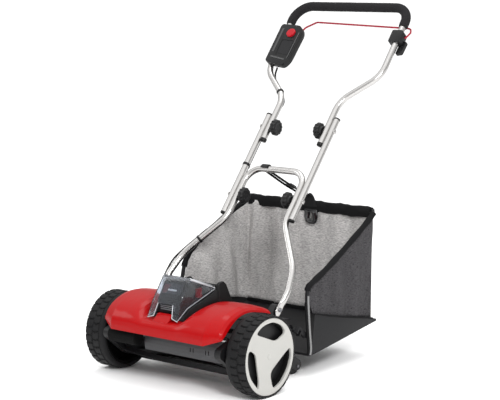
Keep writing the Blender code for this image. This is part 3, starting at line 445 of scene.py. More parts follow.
def tyre(name, side):
    """Tyre with rows of blocks that a zigzag groove parts, and a plain inner shoulder."""
    levels = [
        (0.2205, 0.0935), (0.2172, 0.0965), (0.2175, 0.1005), (0.2195, 0.104), (0.223, 0.1062),
        (0.2275, 0.1074), (0.233, 0.108), (0.237, 0.1082), (TREAD_X, WHEEL_R),
    ]
    levels += [(TREAD_X + TREAD_WIDE * k / 16, WHEEL_R) for k in range(1, 17)]
    levels += [(0.2862, 0.109), (0.2868, 0.107), (0.2868, 0.1045), (0.2802, 0.1045), (0.2802, 0.0935)]
    steps = TREAD_ROWS * ROW_STEPS
    bm = bmesh.new()
    rings = []
    for x, radius in levels:
        ring = []
        across = (x - TREAD_X) / TREAD_WIDE
        for k in range(steps):
            r = radius
            if -0.01 <= across <= 1.05:
                zigzag = 0.3 * abs(((across * 2.0) % 1.0) - 0.5)
                row = (k / ROW_STEPS + zigzag + (0.5 if across < 0.5 else 0.0)) % 1.0
                groove = row < 0.2
                middle = abs(across - 0.5) < 0.035
                depth = 0.0036 if groove else 0.003 if middle else 0.0
                r = max(radius - depth, min(radius, GROOVE_FLOOR))
            t = 2 * math.pi * k / steps
            ring.append(bm.verts.new(at(side * x, r * math.cos(t), WHEEL_R + r * math.sin(t))))
        rings.append(ring)
    skin(bm, rings + rings[:1])
    make(f"tyre_tread_{name}", bm, RUBBER, f"wheel_{name}", [f"tyre_{name}"], smooth=32)


CAP_OPENINGS = (
    [(-0.06, 0.071), (-0.032, 0.089), (0.011, 0.0935), (0.05, 0.079), (0.071, 0.054), (0.03, 0.036)],
    [(-0.091, 0.036), (-0.096, 0.0), (-0.084, -0.042), (-0.048, -0.081), (-0.043, -0.06), (-0.057, 0.019)],
    [(0.09, 0.012), (0.0945, -0.014), (0.082, -0.046), (0.052, -0.078), (0.014, -0.0925), (0.004, -0.044)],
)


def hub_cap(name, side):
    """Dished silver disc: a rim and three spokes that run into a triangular middle."""
    profile = [
        (0.279, 0), (0.279, 0.1), (0.2806, 0.104), (0.284, 0.1042), (0.2864, 0.103), (0.2868, 0.1),
        (0.2866, 0.0935), (0.2856, 0.088), (0.284, 0.07), (0.2832, 0.045), (0.2838, 0.022), (0.2842, 0),
    ]
    disc = lathe(profile, 0, WHEEL_R, 96, side)
    cap = make(f"spoked_cap_{name}", disc, SILVER, f"wheel_{name}", [f"hub_cap_{name}"], 30, 0.001, 3)
    cutters = []
    for outline in CAP_OPENINGS:
        points = [(y, WHEEL_R + z) for y, z in rounded(outline, 0.016, 5)]
        cutters.append(prism(points, along_x, *side_x(side, 0.27, 0.3)))
    cut(cap, cutters)
    back = [
        (0.264, 0.017), (0.264, 0.0932), (0.2662, 0.0932), (0.2675, 0.088), (0.2675, 0.03),
        (0.27, 0.017),
    ]
    rim = lathe(back, 0, WHEEL_R, 64, side)
    make(f"cap_back_{name}", rim, BLACK, f"wheel_{name}", bevel=0.001)
    button = [(0.2836, 0), (0.2836, 0.0075), (0.285, 0.007), (0.2856, 0.005), (0.2856, 0)]
    centre = lathe(button, 0, WHEEL_R, 32, side)
    make(f"cap_centre_{name}", centre, SILVER, f"wheel_{name}")


for side_name, side_sign in SIDES:
    tyre(side_name, side_sign)
    hub_cap(side_name, side_sign)
    # Painted shade: the wheels' inner bodies get the darker black that stands in for their shade.
    paint(f"wheel_rim_{side_name}", SHADED_BLACK)
    paint(f"axle_{side_name}", BLADE)


# Cover ---------------------------------------------------------------------------------------

# The cover's right half: (x, outline in (y, z) from the front lip to the rear edge). It is flat
# below the battery bay, rises to a hump, and closes down to the end wall.
FLAT_OUTLINE = [(-0.1325, 0.146), (-0.1315, 0.16), (-0.1285, 0.174), (-0.118, 0.184), (-0.085, 0.188),
                (-0.03, 0.196), (0.03, 0.203), (0.08, 0.206), (0.116, 0.203)]
COVER_STATIONS = [
    (0.0, FLAT_OUTLINE),
    (0.06, FLAT_OUTLINE),
    (0.068, [(-0.1325, 0.146), (-0.1315, 0.16), (-0.1285, 0.175), (-0.117, 0.186), (-0.084, 0.192),
              (-0.029, 0.2), (0.029, 0.206), (0.08, 0.208), (0.116, 0.204)]),
    (0.086, [(-0.1325, 0.146), (-0.132, 0.162), (-0.1275, 0.18), (-0.11, 0.198), (-0.075, 0.213),
              (-0.028, 0.2225), (0.028, 0.2245), (0.078, 0.217), (0.116, 0.206)]),
    (0.098, [(-0.1325, 0.146), (-0.132, 0.163), (-0.1265, 0.1825), (-0.106, 0.2035), (-0.071, 0.22),
              (-0.025, 0.229), (0.025, 0.23), (0.075, 0.221), (0.116, 0.207)]),
    (0.115, [(-0.1325, 0.146), (-0.132, 0.163), (-0.126, 0.183), (-0.105, 0.2055), (-0.07, 0.222),
              (-0.025, 0.2315), (0.025, 0.232), (0.075, 0.2225), (0.116, 0.207)]),
    (0.14, [(-0.1325, 0.146), (-0.132, 0.163), (-0.1255, 0.183), (-0.104, 0.206), (-0.069, 0.2228),
              (-0.024, 0.2325), (0.025, 0.233), (0.075, 0.223), (0.116, 0.207)]),
    (0.164, [(-0.1325, 0.146), (-0.132, 0.163), (-0.1255, 0.183), (-0.104, 0.206), (-0.069, 0.2225),
              (-0.024, 0.2325), (0.025, 0.233), (0.075, 0.223), (0.116, 0.207)]),
    (0.1665, [(-0.1315, 0.1465), (-0.1315, 0.163), (-0.125, 0.183), (-0.1035, 0.206), (-0.069, 0.2225),
              (-0.024, 0.2325), (0.025, 0.233), (0.0745, 0.223), (0.115, 0.207)]),
    (0.188, [(-0.119, 0.154), (-0.121, 0.166), (-0.1165, 0.183), (-0.098, 0.204), (-0.066, 0.2215),
              (-0.022, 0.2325), (0.02, 0.2325), (0.064, 0.2245), (0.098, 0.2135)]),
    (0.203, [(-0.1105, 0.159), (-0.114, 0.168), (-0.1085, 0.184), (-0.09, 0.2035), (-0.06, 0.219),
              (-0.02, 0.229), (0.02, 0.229), (0.064, 0.2205), (0.098, 0.21)]),
    (0.21, [(-0.1065, 0.1612), (-0.109, 0.168), (-0.101, 0.181), (-0.083, 0.1985), (-0.053, 0.214),
              (-0.018, 0.2235), (0.019, 0.2235), (0.064, 0.2145), (0.098, 0.205)]),
    (0.212, [(-0.105, 0.162), (-0.1055, 0.1665), (-0.0955, 0.1735), (-0.077, 0.19), (-0.047, 0.21),
              (-0.016, 0.218), (0.018, 0.218), (0.064, 0.209), (0.098, 0.2)]),
]


def cover():
    """Glossy red shell: a hump each side of the battery, chamfered front corners, thin lips."""
    stations = [curve_points([at(x, y, z) for y, z in outline], 6) for x, outline in COVER_STATIONS]
    rows = []
    for column in zip(*stations):
        line = []
        for a, b in zip(column, column[1:]):
            steps = max(1, round((b.x - a.x) / 0.005))
            line += [a.lerp(b, j / steps) for j in range(steps)]
        line.append(column[-1])
        rows.append([Vector((-p.x, p.y, p.z)) for p in line[:0:-1]] + line)
    shell = make("reel_cover_shell", grid(rows), RED, "chassis", ["reel_cover"], smooth=9)
    up = sum(p.normal.z * p.area for p in shell.data.polygons)
    if up < 0:
        shell.data.flip_normals()
        thicken(shell, 0.0025)
    ease(shell, 0.0008, 2, 60)


cover()
for finish, bevel_width, parts in (
    (GUARD, 0.0006, ["front_guard"]),
    (BLACK_STEEL, 0.0005, ["side_plate_left", "side_plate_right", "rear_deflector", "bed_knife_bar"]),
    (BLACK_STEEL, 0.0005, ["reel_disc_left", "reel_disc_right"]),
    (BLACK_STEEL, 0.0, ["reel_bearing_left", "reel_bearing_right"]),
    (BLACK_STEEL, 0.0, [f"reel_blade_{k}" for k in range(1, 6)]),
    (BLADE, 0.0, ["reel_shaft", "bed_knife", "motor_pulley", "lid_hinge_pin", "roller_axle"]),
    (BLACK, 0.001, ["side_casing_left", "side_casing_right"]),
    (BLACK, 0.0012, ["roller_arm_left", "roller_arm_right", "rear_roller"]),
    (BLACK, 0.0004, ["reel_pulley"]),
    # Painted shade: the motor housing under the cover gets the darker black that stands in for its shade.
    (SHADED_BLACK, 0.001, ["motor_housing"]),
    (BELT, 0.0, ["drive_belt"]),
):
    for part in parts:
        paint(part, finish, bevel_width)


# Battery bay ---------------------------------------------------------------------------------

def housing():
    """Black bay: sloping side walls, a stepped back and a pocket for the battery."""
    low = [(-0.088, 0.1885), (-0.03, 0.1973), (0.03, 0.2043), (0.08, 0.2073), (0.113, 0.2049)]
    rear = [(0.113, 0.209), (0.084, 0.26), (0.074, 0.2685), (0.06, 0.27), (0.057, 0.26)]
    top = [(0.054, 0.2525), (-0.062, 0.2163), (-0.086, 0.197)]
    body = make(
        "battery_bay", prism(low + rear + top, along_x, -0.06, 0.06), BLACK, "chassis",
        ["battery_housing"], 30, 0.0012,
    )
    between = prism(rect(0.038, 0.2495, 0.105, 0.28), along_x, -0.0536, 0.0536)
    pocket = prism(
        [(-0.083, 0.1965), (-0.03, 0.203), (0.045, 0.215), (0.045, 0.3), (-0.083, 0.3)],
        along_x, -0.041, 0.041,
    )
    cut(body, [between, pocket])
    wedge = [
        (0.057, 0.207), (0.057, 0.264), (0.062, 0.2735), (0.08, 0.274), (0.091, 0.264),
        (0.118, 0.212), (0.11, 0.208),
    ]
    for name, side in SIDES:
        x0, x1 = side_x(side, 0.0545, 0.064)
        make(f"bay_shoulder_{name}", prism(wedge, along_x, x0, x1), BLACK, "chassis", bevel=0.003, segments=3)


def tongue():
    """Red ramp of the cover that rises between the lid's prongs."""
    outline = [(-0.118, 0.183), (-0.095, 0.203), (-0.0885, 0.205), (-0.0885, 0.189)]
    make("cover_tongue", prism(outline, along_x, -0.027, 0.027), RED, "chassis", bevel=0.003, segments=3)


def battery():
    """Black pack with a label panel on its steep face, three ribs and a red release key."""
    outline = [
        (-0.08, 0.2005), (-0.029, 0.207), (0.042, 0.218), (0.042, 0.256), (0.0385, 0.259),
        (-0.04, 0.2905), (-0.0465, 0.2885), (-0.08, 0.238),
    ]
    pack = make(
        "battery_block", prism(outline, along_x, -0.0395, 0.0395), BLACK, "chassis", ["battery_pack"], 30,
        0.0025, 3,
    )
    recess = prism(rect(-0.0135, 0.2385, 0.0095, 0.2655), along_x, 0.0325, 0.045)
    cut(pack, [recess])
    face_a, face_b = at(0, -0.0465, 0.2885), at(0, -0.08, 0.238)
    down = (face_b - face_a).normalized()
    out = Vector((1, 0, 0)).cross(down).normalized()
    if out.y > 0:
        out = -out

    def on_face(u, v, w):
        return face_a + Vector((u, 0, 0)) + down * v + out * w

    panel = rounded(rect(-0.033, 0.011, 0.033, 0.042), 0.003)
    make("battery_panel", prism(panel, on_face, 0.0002, 0.001), LABEL, "chassis")
    patch = rounded([(-0.031, 0.015), (-0.01, 0.015), (-0.018, 0.04), (-0.031, 0.04)], 0.002)
    make("panel_patch", prism(patch, on_face, 0.0011, 0.0014), LABEL_RED, "chassis")
    bar = rounded(rect(-0.014, 0.0275, 0.017, 0.0325), 0.0025)
    make("panel_bar", prism(bar, on_face, 0.0015, 0.0018), LABEL_PALE, "chassis")
    for k in range(3):
        z = 0.212 + 0.005 * k
        rib = [(-0.0818, z), (-0.0818, z + 0.0018), (-0.079, z + 0.0018), (-0.079, z)]
        make(f"battery_rib_{k}", prism(rib, along_x, -0.027, 0.027), RIB, "chassis", bevel=0.0004)
    button = rounded(rect(-0.013, 0.239, 0.009, 0.265), 0.005)
    make(
        "release_key", prism(button, along_x, 0.0362, 0.0435), RED_CONTROL, "battery_release",
        ["battery_release_button"], 35, 0.0012, 3,
    )


def lid():
    """Clear visor over the battery: steep face, sloping top, chamfered sides, two prongs."""
    bm = bmesh.new()
    right = {
        "crest": (0.044, -0.044, 0.3),
        "crest_side": (0.051, -0.046, 0.294),
        "face_foot": (0.05, -0.09, 0.233),
        "prong_tip": (0.053, -0.1055, 0.1905),
        "prong_in": (0.033, -0.104, 0.196),
        "prong_root": (0.0265, -0.0918, 0.2305),
        "side_low": (0.053, -0.0633, 0.219),
        "rear_low": (0.053, 0.0552, 0.2562),
        "rear_side": (0.053, 0.053, 0.259),
        "rear_top": (0.044, 0.05, 0.266),
    }
    verts = {
        (name, key): bm.verts.new(at(side * x, y, z))
        for name, side in SIDES for key, (x, y, z) in right.items()
    }
    for name, _ in SIDES:
        for keys in (
            ("crest", "rear_top", "rear_side", "crest_side"),
            ("crest_side", "rear_side", "rear_low", "side_low", "face_foot"),
            ("face_foot", "side_low", "prong_tip"),
            ("face_foot", "prong_tip", "prong_in", "prong_root"),
        ):
            bm.faces.new([verts[name, key] for key in keys])
    for a, b in (("crest", "rear_top"), ("rear_top", "rear_side"), ("rear_side", "rear_low")):
        bm.faces.new([verts["left", a], verts["right", a], verts["right", b], verts["left", b]])
    front = ["crest", "crest_side", "face_foot", "prong_root"]
    bm.faces.new([verts["left", k] for k in front] + [verts["right", k] for k in front[::-1]])
    visor = make("clear_visor", bm, CLEAR, "lid", ["battery_lid"], smooth=20)
    if sum(p.normal.z * p.area for p in visor.data.polygons) < 0:
        visor.data.flip_normals()
    thicken(visor, 0.0022)
    ease(visor, 0.001, 3, 15)
    # Painted highlights: pale strips round the visor's side edges and prongs stand in for the light along
    # them.
    for name, side in SIDES:
        keys = ["crest_side", "rear_side", "rear_low", "side_low", "prong_tip"]
        corners = [at(side * (right[k][0] - 0.0012), right[k][1], right[k][2]) for k in keys]
        rim = tube(bend(corners, 0.004, 5), 0.0014, 10)
        make(f"visor_rim_{name}", rim, CLEAR_HIGHLIGHT, "lid", smooth=60)
        keys = ["prong_tip", "prong_in", "prong_root"]
        corners = [at(side * right[k][0], right[k][1], right[k][2]) for k in keys]
        make(f"prong_rim_{name}", tube(bend(corners, 0.003, 4), 0.0012, 10), CLEAR_HIGHLIGHT, "lid", smooth=60)
    # Painted highlight: a pale band along each top chamfer stands in for the bright line of light on it.
    for name, side in SIDES:
        bm = bmesh.new()
        band = [
            (0.0449, -0.044, 0.3001), (0.0449, 0.046, 0.2676), (0.0524, 0.047, 0.2618),
            (0.0514, -0.044, 0.2948),
        ]
        bm.faces.new([bm.verts.new(at(side * x, y, z)) for x, y, z in band])
        strip = make(f"visor_chamfer_{name}", bm, CLEAR_HIGHLIGHT, "lid")
        thicken(strip, 0.0006, 1)
    barrel = tube([at(-0.0515, 0.062, 0.262), at(0.0515, 0.062, 0.262)], 0.0052, 20)
    make("visor_barrel", barrel, BLACK, "lid")
    web = prism(rect(0.0525, 0.2595, 0.062, 0.2645), along_x, -0.0515, 0.0515)
    make("visor_web", web, BLACK, "lid", bevel=0.001)


housing()
tongue()
battery()
lid()


# Handle --------------------------------------------------------------------------------------

LOWER_S, UPPER_S = -0.625, -0.383
GRIP_X, LEG_X, SIDE_BAR_X = 0.2085, 0.1045, 0.1242


def handle_path(points):
    """Points of the handle's plane, from (x, s) or (x, s, n)."""
    return [on_handle(*p) for p in points]


def end_cap(name, x, s, up_end, body, length=0.0025):
    """Black plug on the open end of a tube."""
    way = ALONG if up_end else -ALONG
    p = on_handle(x, s)
    path = [p - way * length, p + way * 0.0006, p + way * 0.0018, p + way * 0.0024]
    sizes = [(TUBE_R + 0.0005,) * 2, (TUBE_R + 0.0005,) * 2, (TUBE_R,) * 2, (TUBE_R - 0.002,) * 2]
    make(name, tube(path, sizes, 24), BLACK, body)


def handles():
    """Lower handle with flattened lugs, the two side tubes and the upper handle."""
    right = [(LEG_X, -0.528), (LEG_X, -0.7), (0.201, -0.838), (0.2165, -0.905), (0.2155, -0.938)]
    corners = handle_path([(-x, s) for x, s in right[::-1]] + right)
    inner = bend(corners[1:-1], (0.15, 0.09, 0.05, 0.05, 0.09, 0.15), 12)
    lug_top = [on_handle(0.215, s) for s in (-0.945, -0.952, -0.962, -0.975, -0.982, -0.986)]
    lug_left = [Vector((-p.x, p.y, p.z)) for p in reversed(lug_top)]
    path = lug_left + [corners[0]] + inner + [corners[-1]] + lug_top
    sizes = [(TUBE_R, TUBE_R)] * len(path)
    flat = [
        (0.007, 0.0105), (0.0032, 0.0122), (0.0024, 0.0127), (0.0024, 0.0122), (0.0024, 0.0095),
        (0.0022, 0.005),
    ]
    for k, size in enumerate(flat):
        sizes[k - 6] = size
        sizes[5 - k] = size
    make("lower_tube", tube(path, sizes, 28, OFF), TUBE, "chassis", ["lower_handle"], 50)
    for name, side in SIDES:
        tube_path = handle_path([(side * SIDE_BAR_X, -0.34), (side * SIDE_BAR_X, -0.69)])
        make(
            f"side_bar_{name}", tube(tube_path, TUBE_R, 28, OFF), TUBE, "side_tubes", [f"side_tube_{name}"],
            50,
        )
        end_cap(f"side_cap_low_{name}", side * SIDE_BAR_X, -0.69, False, "side_tubes")
        end_cap(f"side_cap_high_{name}", side * SIDE_BAR_X, -0.34, True, "side_tubes")
        end_cap(f"upper_cap_{name}", side * LEG_X, -0.432, False, "upper_handle", 0.006)
        lug = on_handle(side * 0.218, -0.966)
        head = [(0.2174, 0), (0.2174, 0.0062), (0.219, 0.0062), (0.2202, 0.005), (0.2204, 0)]
        bolt = lathe(head, lug.y - SHIFT, lug.z, 20, side)
        make(f"lug_bolt_{name}", bolt, BLADE, "chassis")
    upper = [(GRIP_X, 0.071), (GRIP_X, -0.18), (LEG_X, -0.275), (LEG_X, -0.432)]
    corners = handle_path([(-x, s) for x, s in upper[::-1]] + upper)
    wide = bend(corners[2:6], 0.055, 14)
    path = bend(corners[:4], 0.08, 12)[:-1] + wide[1:-1] + bend(corners[4:], 0.08, 12)[1:]
    make("upper_tube", tube(path, TUBE_R, 28, OFF), TUBE, "upper_handle", ["upper_handle"], 50)


def grip():
    """Foam sleeve, slightly uneven, with rounded ends."""
    corners = handle_path([(-GRIP_X, -0.0005), (-GRIP_X, 0.071), (GRIP_X, 0.071), (GRIP_X, -0.0005)])
    line = bend(corners, 0.055, 16)
    fine = [line[0]]
    for a, b in zip(line, line[1:]):
        steps = max(1, round((b - a).length / 0.006))
        fine += [a.lerp(b, k / steps) for k in range(1, steps + 1)]
    radii = []
    for k, p in enumerate(fine):
        end = min(k, len(fine) - 1 - k)
        r = 0.01425 - (0.0012 if end == 0 else 0.0003 if end == 1 else 0.0)
        radii.append((r, r))
    sleeve = make("foam_sleeve", tube(fine, radii, 32, OFF), FOAM, "upper_handle", ["foam_grip"], 50)
    for v in sleeve.data.vertices:
        v.co += v.normal * (0.00035 * noise.noise(v.co * 90))


def knob(name, s, side, body):
    """Lobed knob with a recessed face, and its bolt through both tubes."""
    c = on_handle(0, s)
    profile = [
        (0.0722, 0), (0.072, 0.01), (0.0704, 0.012, 0.0002), (0.07, 0.0165, 0.0006),
        (0.0712, 0.02, 0.0009), (0.0735, 0.0226, 0.0011), (0.0775, 0.0238, 0.0011),
        (0.0825, 0.0238, 0.0011), (0.0862, 0.0226, 0.0011), (0.0885, 0.0195, 0.0008), (0.0898, 0.015),
        (0.0943, 0.0125), (0.0943, 0),
    ]
    star = lathe(profile, c.y - SHIFT, c.z, 96, side, lobes=12)
    make(f"star_{name}", star, BLACK, body, [name], 35)
    shank = [
        (0.094, 0), (0.094, 0.003), (0.1336, 0.003), (0.1336, 0.0066), (0.1365, 0.0066), (0.1378, 0.0045),
        (0.1378, 0),
    ]
    bolt = lathe(shank, c.y - SHIFT, c.z, 20, side)
    make(f"bolt_{name}", bolt, TUBE, body)


handles()
grip()
for side_name, side_sign in SIDES:
    knob(f"lower_knob_{side_name}", LOWER_S, side_sign, f"lower_knob_{side_name}")
    knob(f"upper_knob_{side_name}", UPPER_S, side_sign, f"upper_knob_{side_name}")


# Controls ------------------------------------------------------------------------------------

BUTTON_X, BUTTON_S = -0.172, -0.048


def tube_hole(x, low, high, room):
    """A cutter for the handle's tube, with some room round it."""
    return tube(handle_path([(x, low), (x, high)]), TUBE_R + room, 24, OFF)


def switch_box():
    """Front and back of the switch box, with the raised strips and the pad on its face."""
    front = [
        (-0.224, -0.012), (-0.148, -0.018), (-0.133, -0.042), (-0.136, -0.145), (-0.15, -0.168),
        (-0.224, -0.156),
    ]
    back = [(-0.223, -0.011), (-0.153, -0.016), (-0.153, -0.145), (-0.223, -0.14)]
    body = make(
        "switch_shell", prism(rounded(front, 0.012, 5), on_handle, -0.002, 0.0185), BLACK, "upper_handle",
        ["switch_box"], 35, 0.0045, 4,
    )
    window = rounded([(-0.195, -0.072), (-0.148, -0.076), (-0.149, -0.142), (-0.195, -0.132)], 0.006)
    cut(body, [prism(window, on_handle, 0.017, 0.03), tube_hole(-GRIP_X, 0.05, -0.18, 0.0006)])
    rear = make(
        "switch_back", prism(rounded(back, 0.01, 5), on_handle, -0.0165, -0.0018), BLACK, "upper_handle",
        smooth=35, bevel=0.003, segments=3,
    )
    slit = prism(rect(-0.167, -0.056, -0.157, 0.01), on_handle, -0.03, 0.0)
    cut(rear, [tube_hole(-GRIP_X, 0.05, -0.18, 0.0006), slit])
    for name, low, high, width, outline in (
        ("rail", 0.016, 0.0205, 0.0015,
         [(-0.144, -0.042), (-0.14, -0.048), (-0.142, -0.143), (-0.146, -0.145)]),
        ("sill", 0.0165, 0.02, 0.0015,
         [(-0.21, -0.133), (-0.152, -0.145), (-0.152, -0.15), (-0.21, -0.139)]),
        ("ridge", 0.0165, 0.0195, 0.0012, rect(-0.214, -0.03, -0.206, -0.12)),
    ):
        strip = prism(outline, on_handle, low, high)
        make(f"switch_{name}", strip, BLACK_GLOSS, "upper_handle", bevel=width, segments=3)
    window_fill = rounded(
        [(-0.193, -0.074), (-0.15, -0.078), (-0.151, -0.13), (-0.193, -0.122)], 0.005,
    )
    make(
        "switch_pad", prism(window_fill, on_handle, 0.0165, 0.0176), BLACK_STEEL, "upper_handle",
        slot="black_moulding",
    )


def button():
    """Round safety button with a domed face."""
    bm = bmesh.new()
    turns = [2 * math.pi * k / 40 for k in range(40)]
    rings = []
    for n, radius in [
        (0.015, 0.0152), (0.0215, 0.0152), (0.0232, 0.0146), (0.0242, 0.0132), (0.0245, 0.01),
    ]:
        rings.append([
            bm.verts.new(
                on_handle(BUTTON_X + radius * math.cos(t), BUTTON_S + radius * math.sin(t), n),
            ) for t in turns
        ])
    rings.append([bm.verts.new(on_handle(BUTTON_X, BUTTON_S, 0.0243))])
    bm.faces.new(rings[0][::-1])
    skin(bm, rings)
    make("round_button", bm, RED_CONTROL, "safety_button", ["safety_button"], 30)


def bail():
    """Red wire behind the foam, and the clamp that holds its right end."""
    corners = handle_path([
        (-0.1545, -0.036, -0.004), (-0.162, -0.036, -0.004), (-0.162, 0.004, -0.0204),
        (-0.128, 0.025, -0.0204), (0.185, 0.012, -0.0204), (0.2225, 0.01, -0.0204),
        (0.2345, -0.012, -0.012), (0.2315, -0.036, -0.004), (0.2235, -0.036, -0.004),
    ])
    make(
        "bail_wire", tube(bend(corners, (0.005, 0.009, 0.012, 0.012, 0.02, 0.01, 0.0035), 8), 0.0027, 16),
        RED_WIRE, "bail", ["bail_lever"], 50,
    )
    block = rounded(
        [(0.188, -0.064), (0.227, -0.06), (0.229, -0.03), (0.223, -0.02), (0.188, -0.02)],
        0.005, 3,
    )
    clamp = make(
        "bail_clamp", prism(block, on_handle, -0.0135, 0.0135), BLACK, "upper_handle", ["bail_bracket"], 35,
        0.002, 3,
    )
    cut(clamp, [tube_hole(GRIP_X, 0.05, -0.15, 0.0005)])
    boss = rounded([(0.213, -0.09), (0.233, -0.086), (0.2345, -0.044), (0.213, -0.044)], 0.004, 3)
    make("clamp_boss", prism(boss, on_handle, -0.0225, -0.011), BLACK, "upper_handle", bevel=0.0015)


switch_box()
button()
bail()


# Cable -----------------------------------------------------------------------------------------

CABLE_R = 0.0028
CABLE_N = -(TUBE_R + CABLE_R + 0.0006)


def cable(name, nodes, route):
    """A run of cable through points of the handle's plane, in place of the CAD nodes that it hides."""
    line = curve_points(handle_path(route), 10)
    run = make(name, tube(line, CABLE_R, 12), BLACK, None, smooth=60)
    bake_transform(run)
    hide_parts(*nodes)


def clip(name, p, q, axis, body):
    """A thin band round the tube at p and the cable beside it at q."""
    d = q - p
    reach = d.length
    d.normalize()
    turned = axis.cross(d)
    steps = 28
    bm = bmesh.new()
    rings = []
    for w in (-0.0035, 0.0035):
        for thick in (0.0, 0.0014):
            ring = []
            for k in range(steps):
                t = 2 * math.pi * k / steps
                c = math.cos(t)
                r = TUBE_R + 0.0002 + thick
                centre = p
                if c > 0.35:
                    r, centre = CABLE_R + 0.0002 + thick, p + d * reach
                ring.append(bm.verts.new(centre + d * (r * c) + turned * (r * math.sin(t)) + axis * w))
            rings.append(ring)
    skin(bm, [rings[0], rings[1], rings[3], rings[2], rings[0]])
    make(name, bm, BLACK, body, smooth=50)


cable("cable_top", ["cable_upper"], [
    (-0.189, -0.16, -0.01), (-0.185, -0.188, CABLE_N), (-0.16, -0.224, CABLE_N),
    (-0.125, -0.256, CABLE_N), (-0.106, -0.285, CABLE_N), (-0.111, -0.32, CABLE_N),
    (-0.1225, -0.35, CABLE_N), (-0.1242, -0.4, CABLE_N), (-0.1242, -0.46, CABLE_N),
    (-0.1242, -0.52, CABLE_N),
])
cable("cable_low", ["cable_middle", "cable_lower"], [
    (-0.1242, -0.5205, CABLE_N), (-0.1242, -0.58, CABLE_N), (-0.1242, -0.65, CABLE_N),
    (-0.1246, -0.7017, CABLE_N), (-0.13, -0.721, -0.011), (-0.156, -0.745, -0.004),
    (-0.18, -0.786, 0.0), (-0.206, -0.824, 0.0), (-0.225, -0.86, 0.0), (-0.23, -0.9, 0.0),
    (-0.23, -0.935, -0.005), (-0.224, -0.956, -0.019), (-0.21, -0.964, -0.027),
    (-0.203, -0.966, -0.019),
])
clip("clip_mid", on_handle(-0.1242, -0.52), on_handle(-0.1242, -0.52, CABLE_N), ALONG, "side_tubes")
clip(
    "clip_top", on_handle(-0.125, -0.256), on_handle(-0.125, -0.256, CABLE_N),
    (Vector((0.104, 0, 0)) - 0.095 * ALONG).normalized(), "upper_handle",
)
clip(
    "clip_low", on_handle(-0.1647, -0.786), on_handle(-0.1752, -0.7788, -0.0005),
    (Vector((0.0965, 0, 0)) + 0.138 * ALONG).normalized(), "chassis",
)


# Grass bag ---------------------------------------------------------------------------------------

BAG_X = 0.2345
RIGHT_RAIL = [
    (0.245, 0.06), (0.248, 0.08), (0.242, 0.133), (0.237, 0.182), (0.234, 0.225),
    (0.2375, 0.25), (0.2525, 0.261), (0.333, 0.296), (0.455, 0.36), (0.538, 0.408),
    (0.56, 0.426),
]
LEFT_RAIL = [
    (0.245, 0.06), (0.248, 0.08), (0.242, 0.133), (0.242, 0.182), (0.249, 0.23),
    (0.26, 0.265), (0.281, 0.293), (0.337, 0.33), (0.44, 0.378), (0.538, 0.415),
    (0.56, 0.428),
]
SEAM = [(0.266, 0.1735), (0.384, 0.145), (0.552, 0.112)]
BACK_WIDE, BACK_DEEP = 0.458, 0.313


def read(line, t):
    """The point a share t along a line of (y, z) points, by its length."""
    spans = [math.dist(a, b) for a, b in zip(line, line[1:])]
    left = t * sum(spans)
    for (a, b), span in zip(zip(line, line[1:]), spans):
        if left <= span or b == line[-1]:
            k = min(1.0, left / span)
            return (a[0] + (b[0] - a[0]) * k, a[1] + (b[1] - a[1]) * k)
        left -= span
    return line[-1]


def bag_frame():
    """Bent tube under its cloth sleeves, with a grey strip of painted highlight down each upright and a hook
    on each side.
    """
    right = curve_points([at(BAG_X, y, z) for y, z in RIGHT_RAIL], 6)
    left = curve_points([at(-BAG_X, y, z) for y, z in LEFT_RAIL], 6)
    bar = [at(x, 0.561, 0.43) for x in (-0.218, 0.218)]
    path = left[:-2] + [at(-0.23, 0.5605, 0.4298)] + bar + [at(0.23, 0.5605, 0.4298)] + right[::-1][2:]
    make("bag_tube", tube(path, 0.006, 16), BLACK_STEEL, "bag", ["bag_frame"], 50)
    for name, side in SIDES:
        line = right if side > 0 else left
        # Painted highlight: a grey strip down the middle of each upright stands in for the light along it.
        post = line[:26]
        strip = [p + Vector((side * 0.0012, 0, 0)) for p in post]
        make(f"bag_upright_{name}", tube(strip, 0.0052, 14), UPRIGHT_HIGHLIGHT, "bag")
        for k, away in enumerate((-0.0072, 0.0072)):
            welt = [p + Vector((0, away, 0)) for p in post[:-3]]
            make(f"bag_welt_{name}_{k}", tube(welt, 0.0032, 10), BINDING, "bag")
        sleeve = line[28:-1]
        soft = [
            (0.0086 + 0.0006 * math.sin(k * 1.3), 0.008 + 0.0005 * math.cos(k * 0.9))
            for k in range(len(sleeve))
        ]
        make(f"bag_sleeve_{name}", tube(sleeve, soft, 16), BINDING, "bag")
        hook = [
            (-0.01, -0.01), (0.012, -0.01), (0.014, 0.0385), (0.0, 0.0385), (-0.002, 0.01),
            (-0.01, 0.01), (-0.01, 0.0048), (0.0048, 0.0048), (0.0048, -0.0048), (-0.01, -0.0048),
        ]
        pin = at(0, 0.208, 0.132)
        x0, x1 = side_x(side, 0.2165, 0.23)
        make(
            f"bag_catch_{name}",
            prism(hook, lambda u, v, w: pin + Vector((w, 0, 0)) + u * ALONG - v * OFF, x0, x1), BLACK_STEEL,
            "bag", bevel=0.001,
        )
    rows = []
    for k in range(33):
        x = -0.227 + 0.454 * k / 32
        wave = 0.0012 * math.sin(k * 1.1) + 0.0008 * math.sin(k * 2.7)
        section = [
            (0.569, 0.437), (0.561, 0.44 + wave), (0.553, 0.437), (0.551, 0.422),
            (0.552, 0.408 + wave), (0.556, 0.4065 + wave), (0.566, 0.408), (0.57, 0.42),
            (0.569, 0.437),
        ]
        rows.append([at(x, y + wave * 0.5, z) for y, z in section])
    make("bag_top_sleeve", grid(rows), BINDING, "bag", smooth=60)


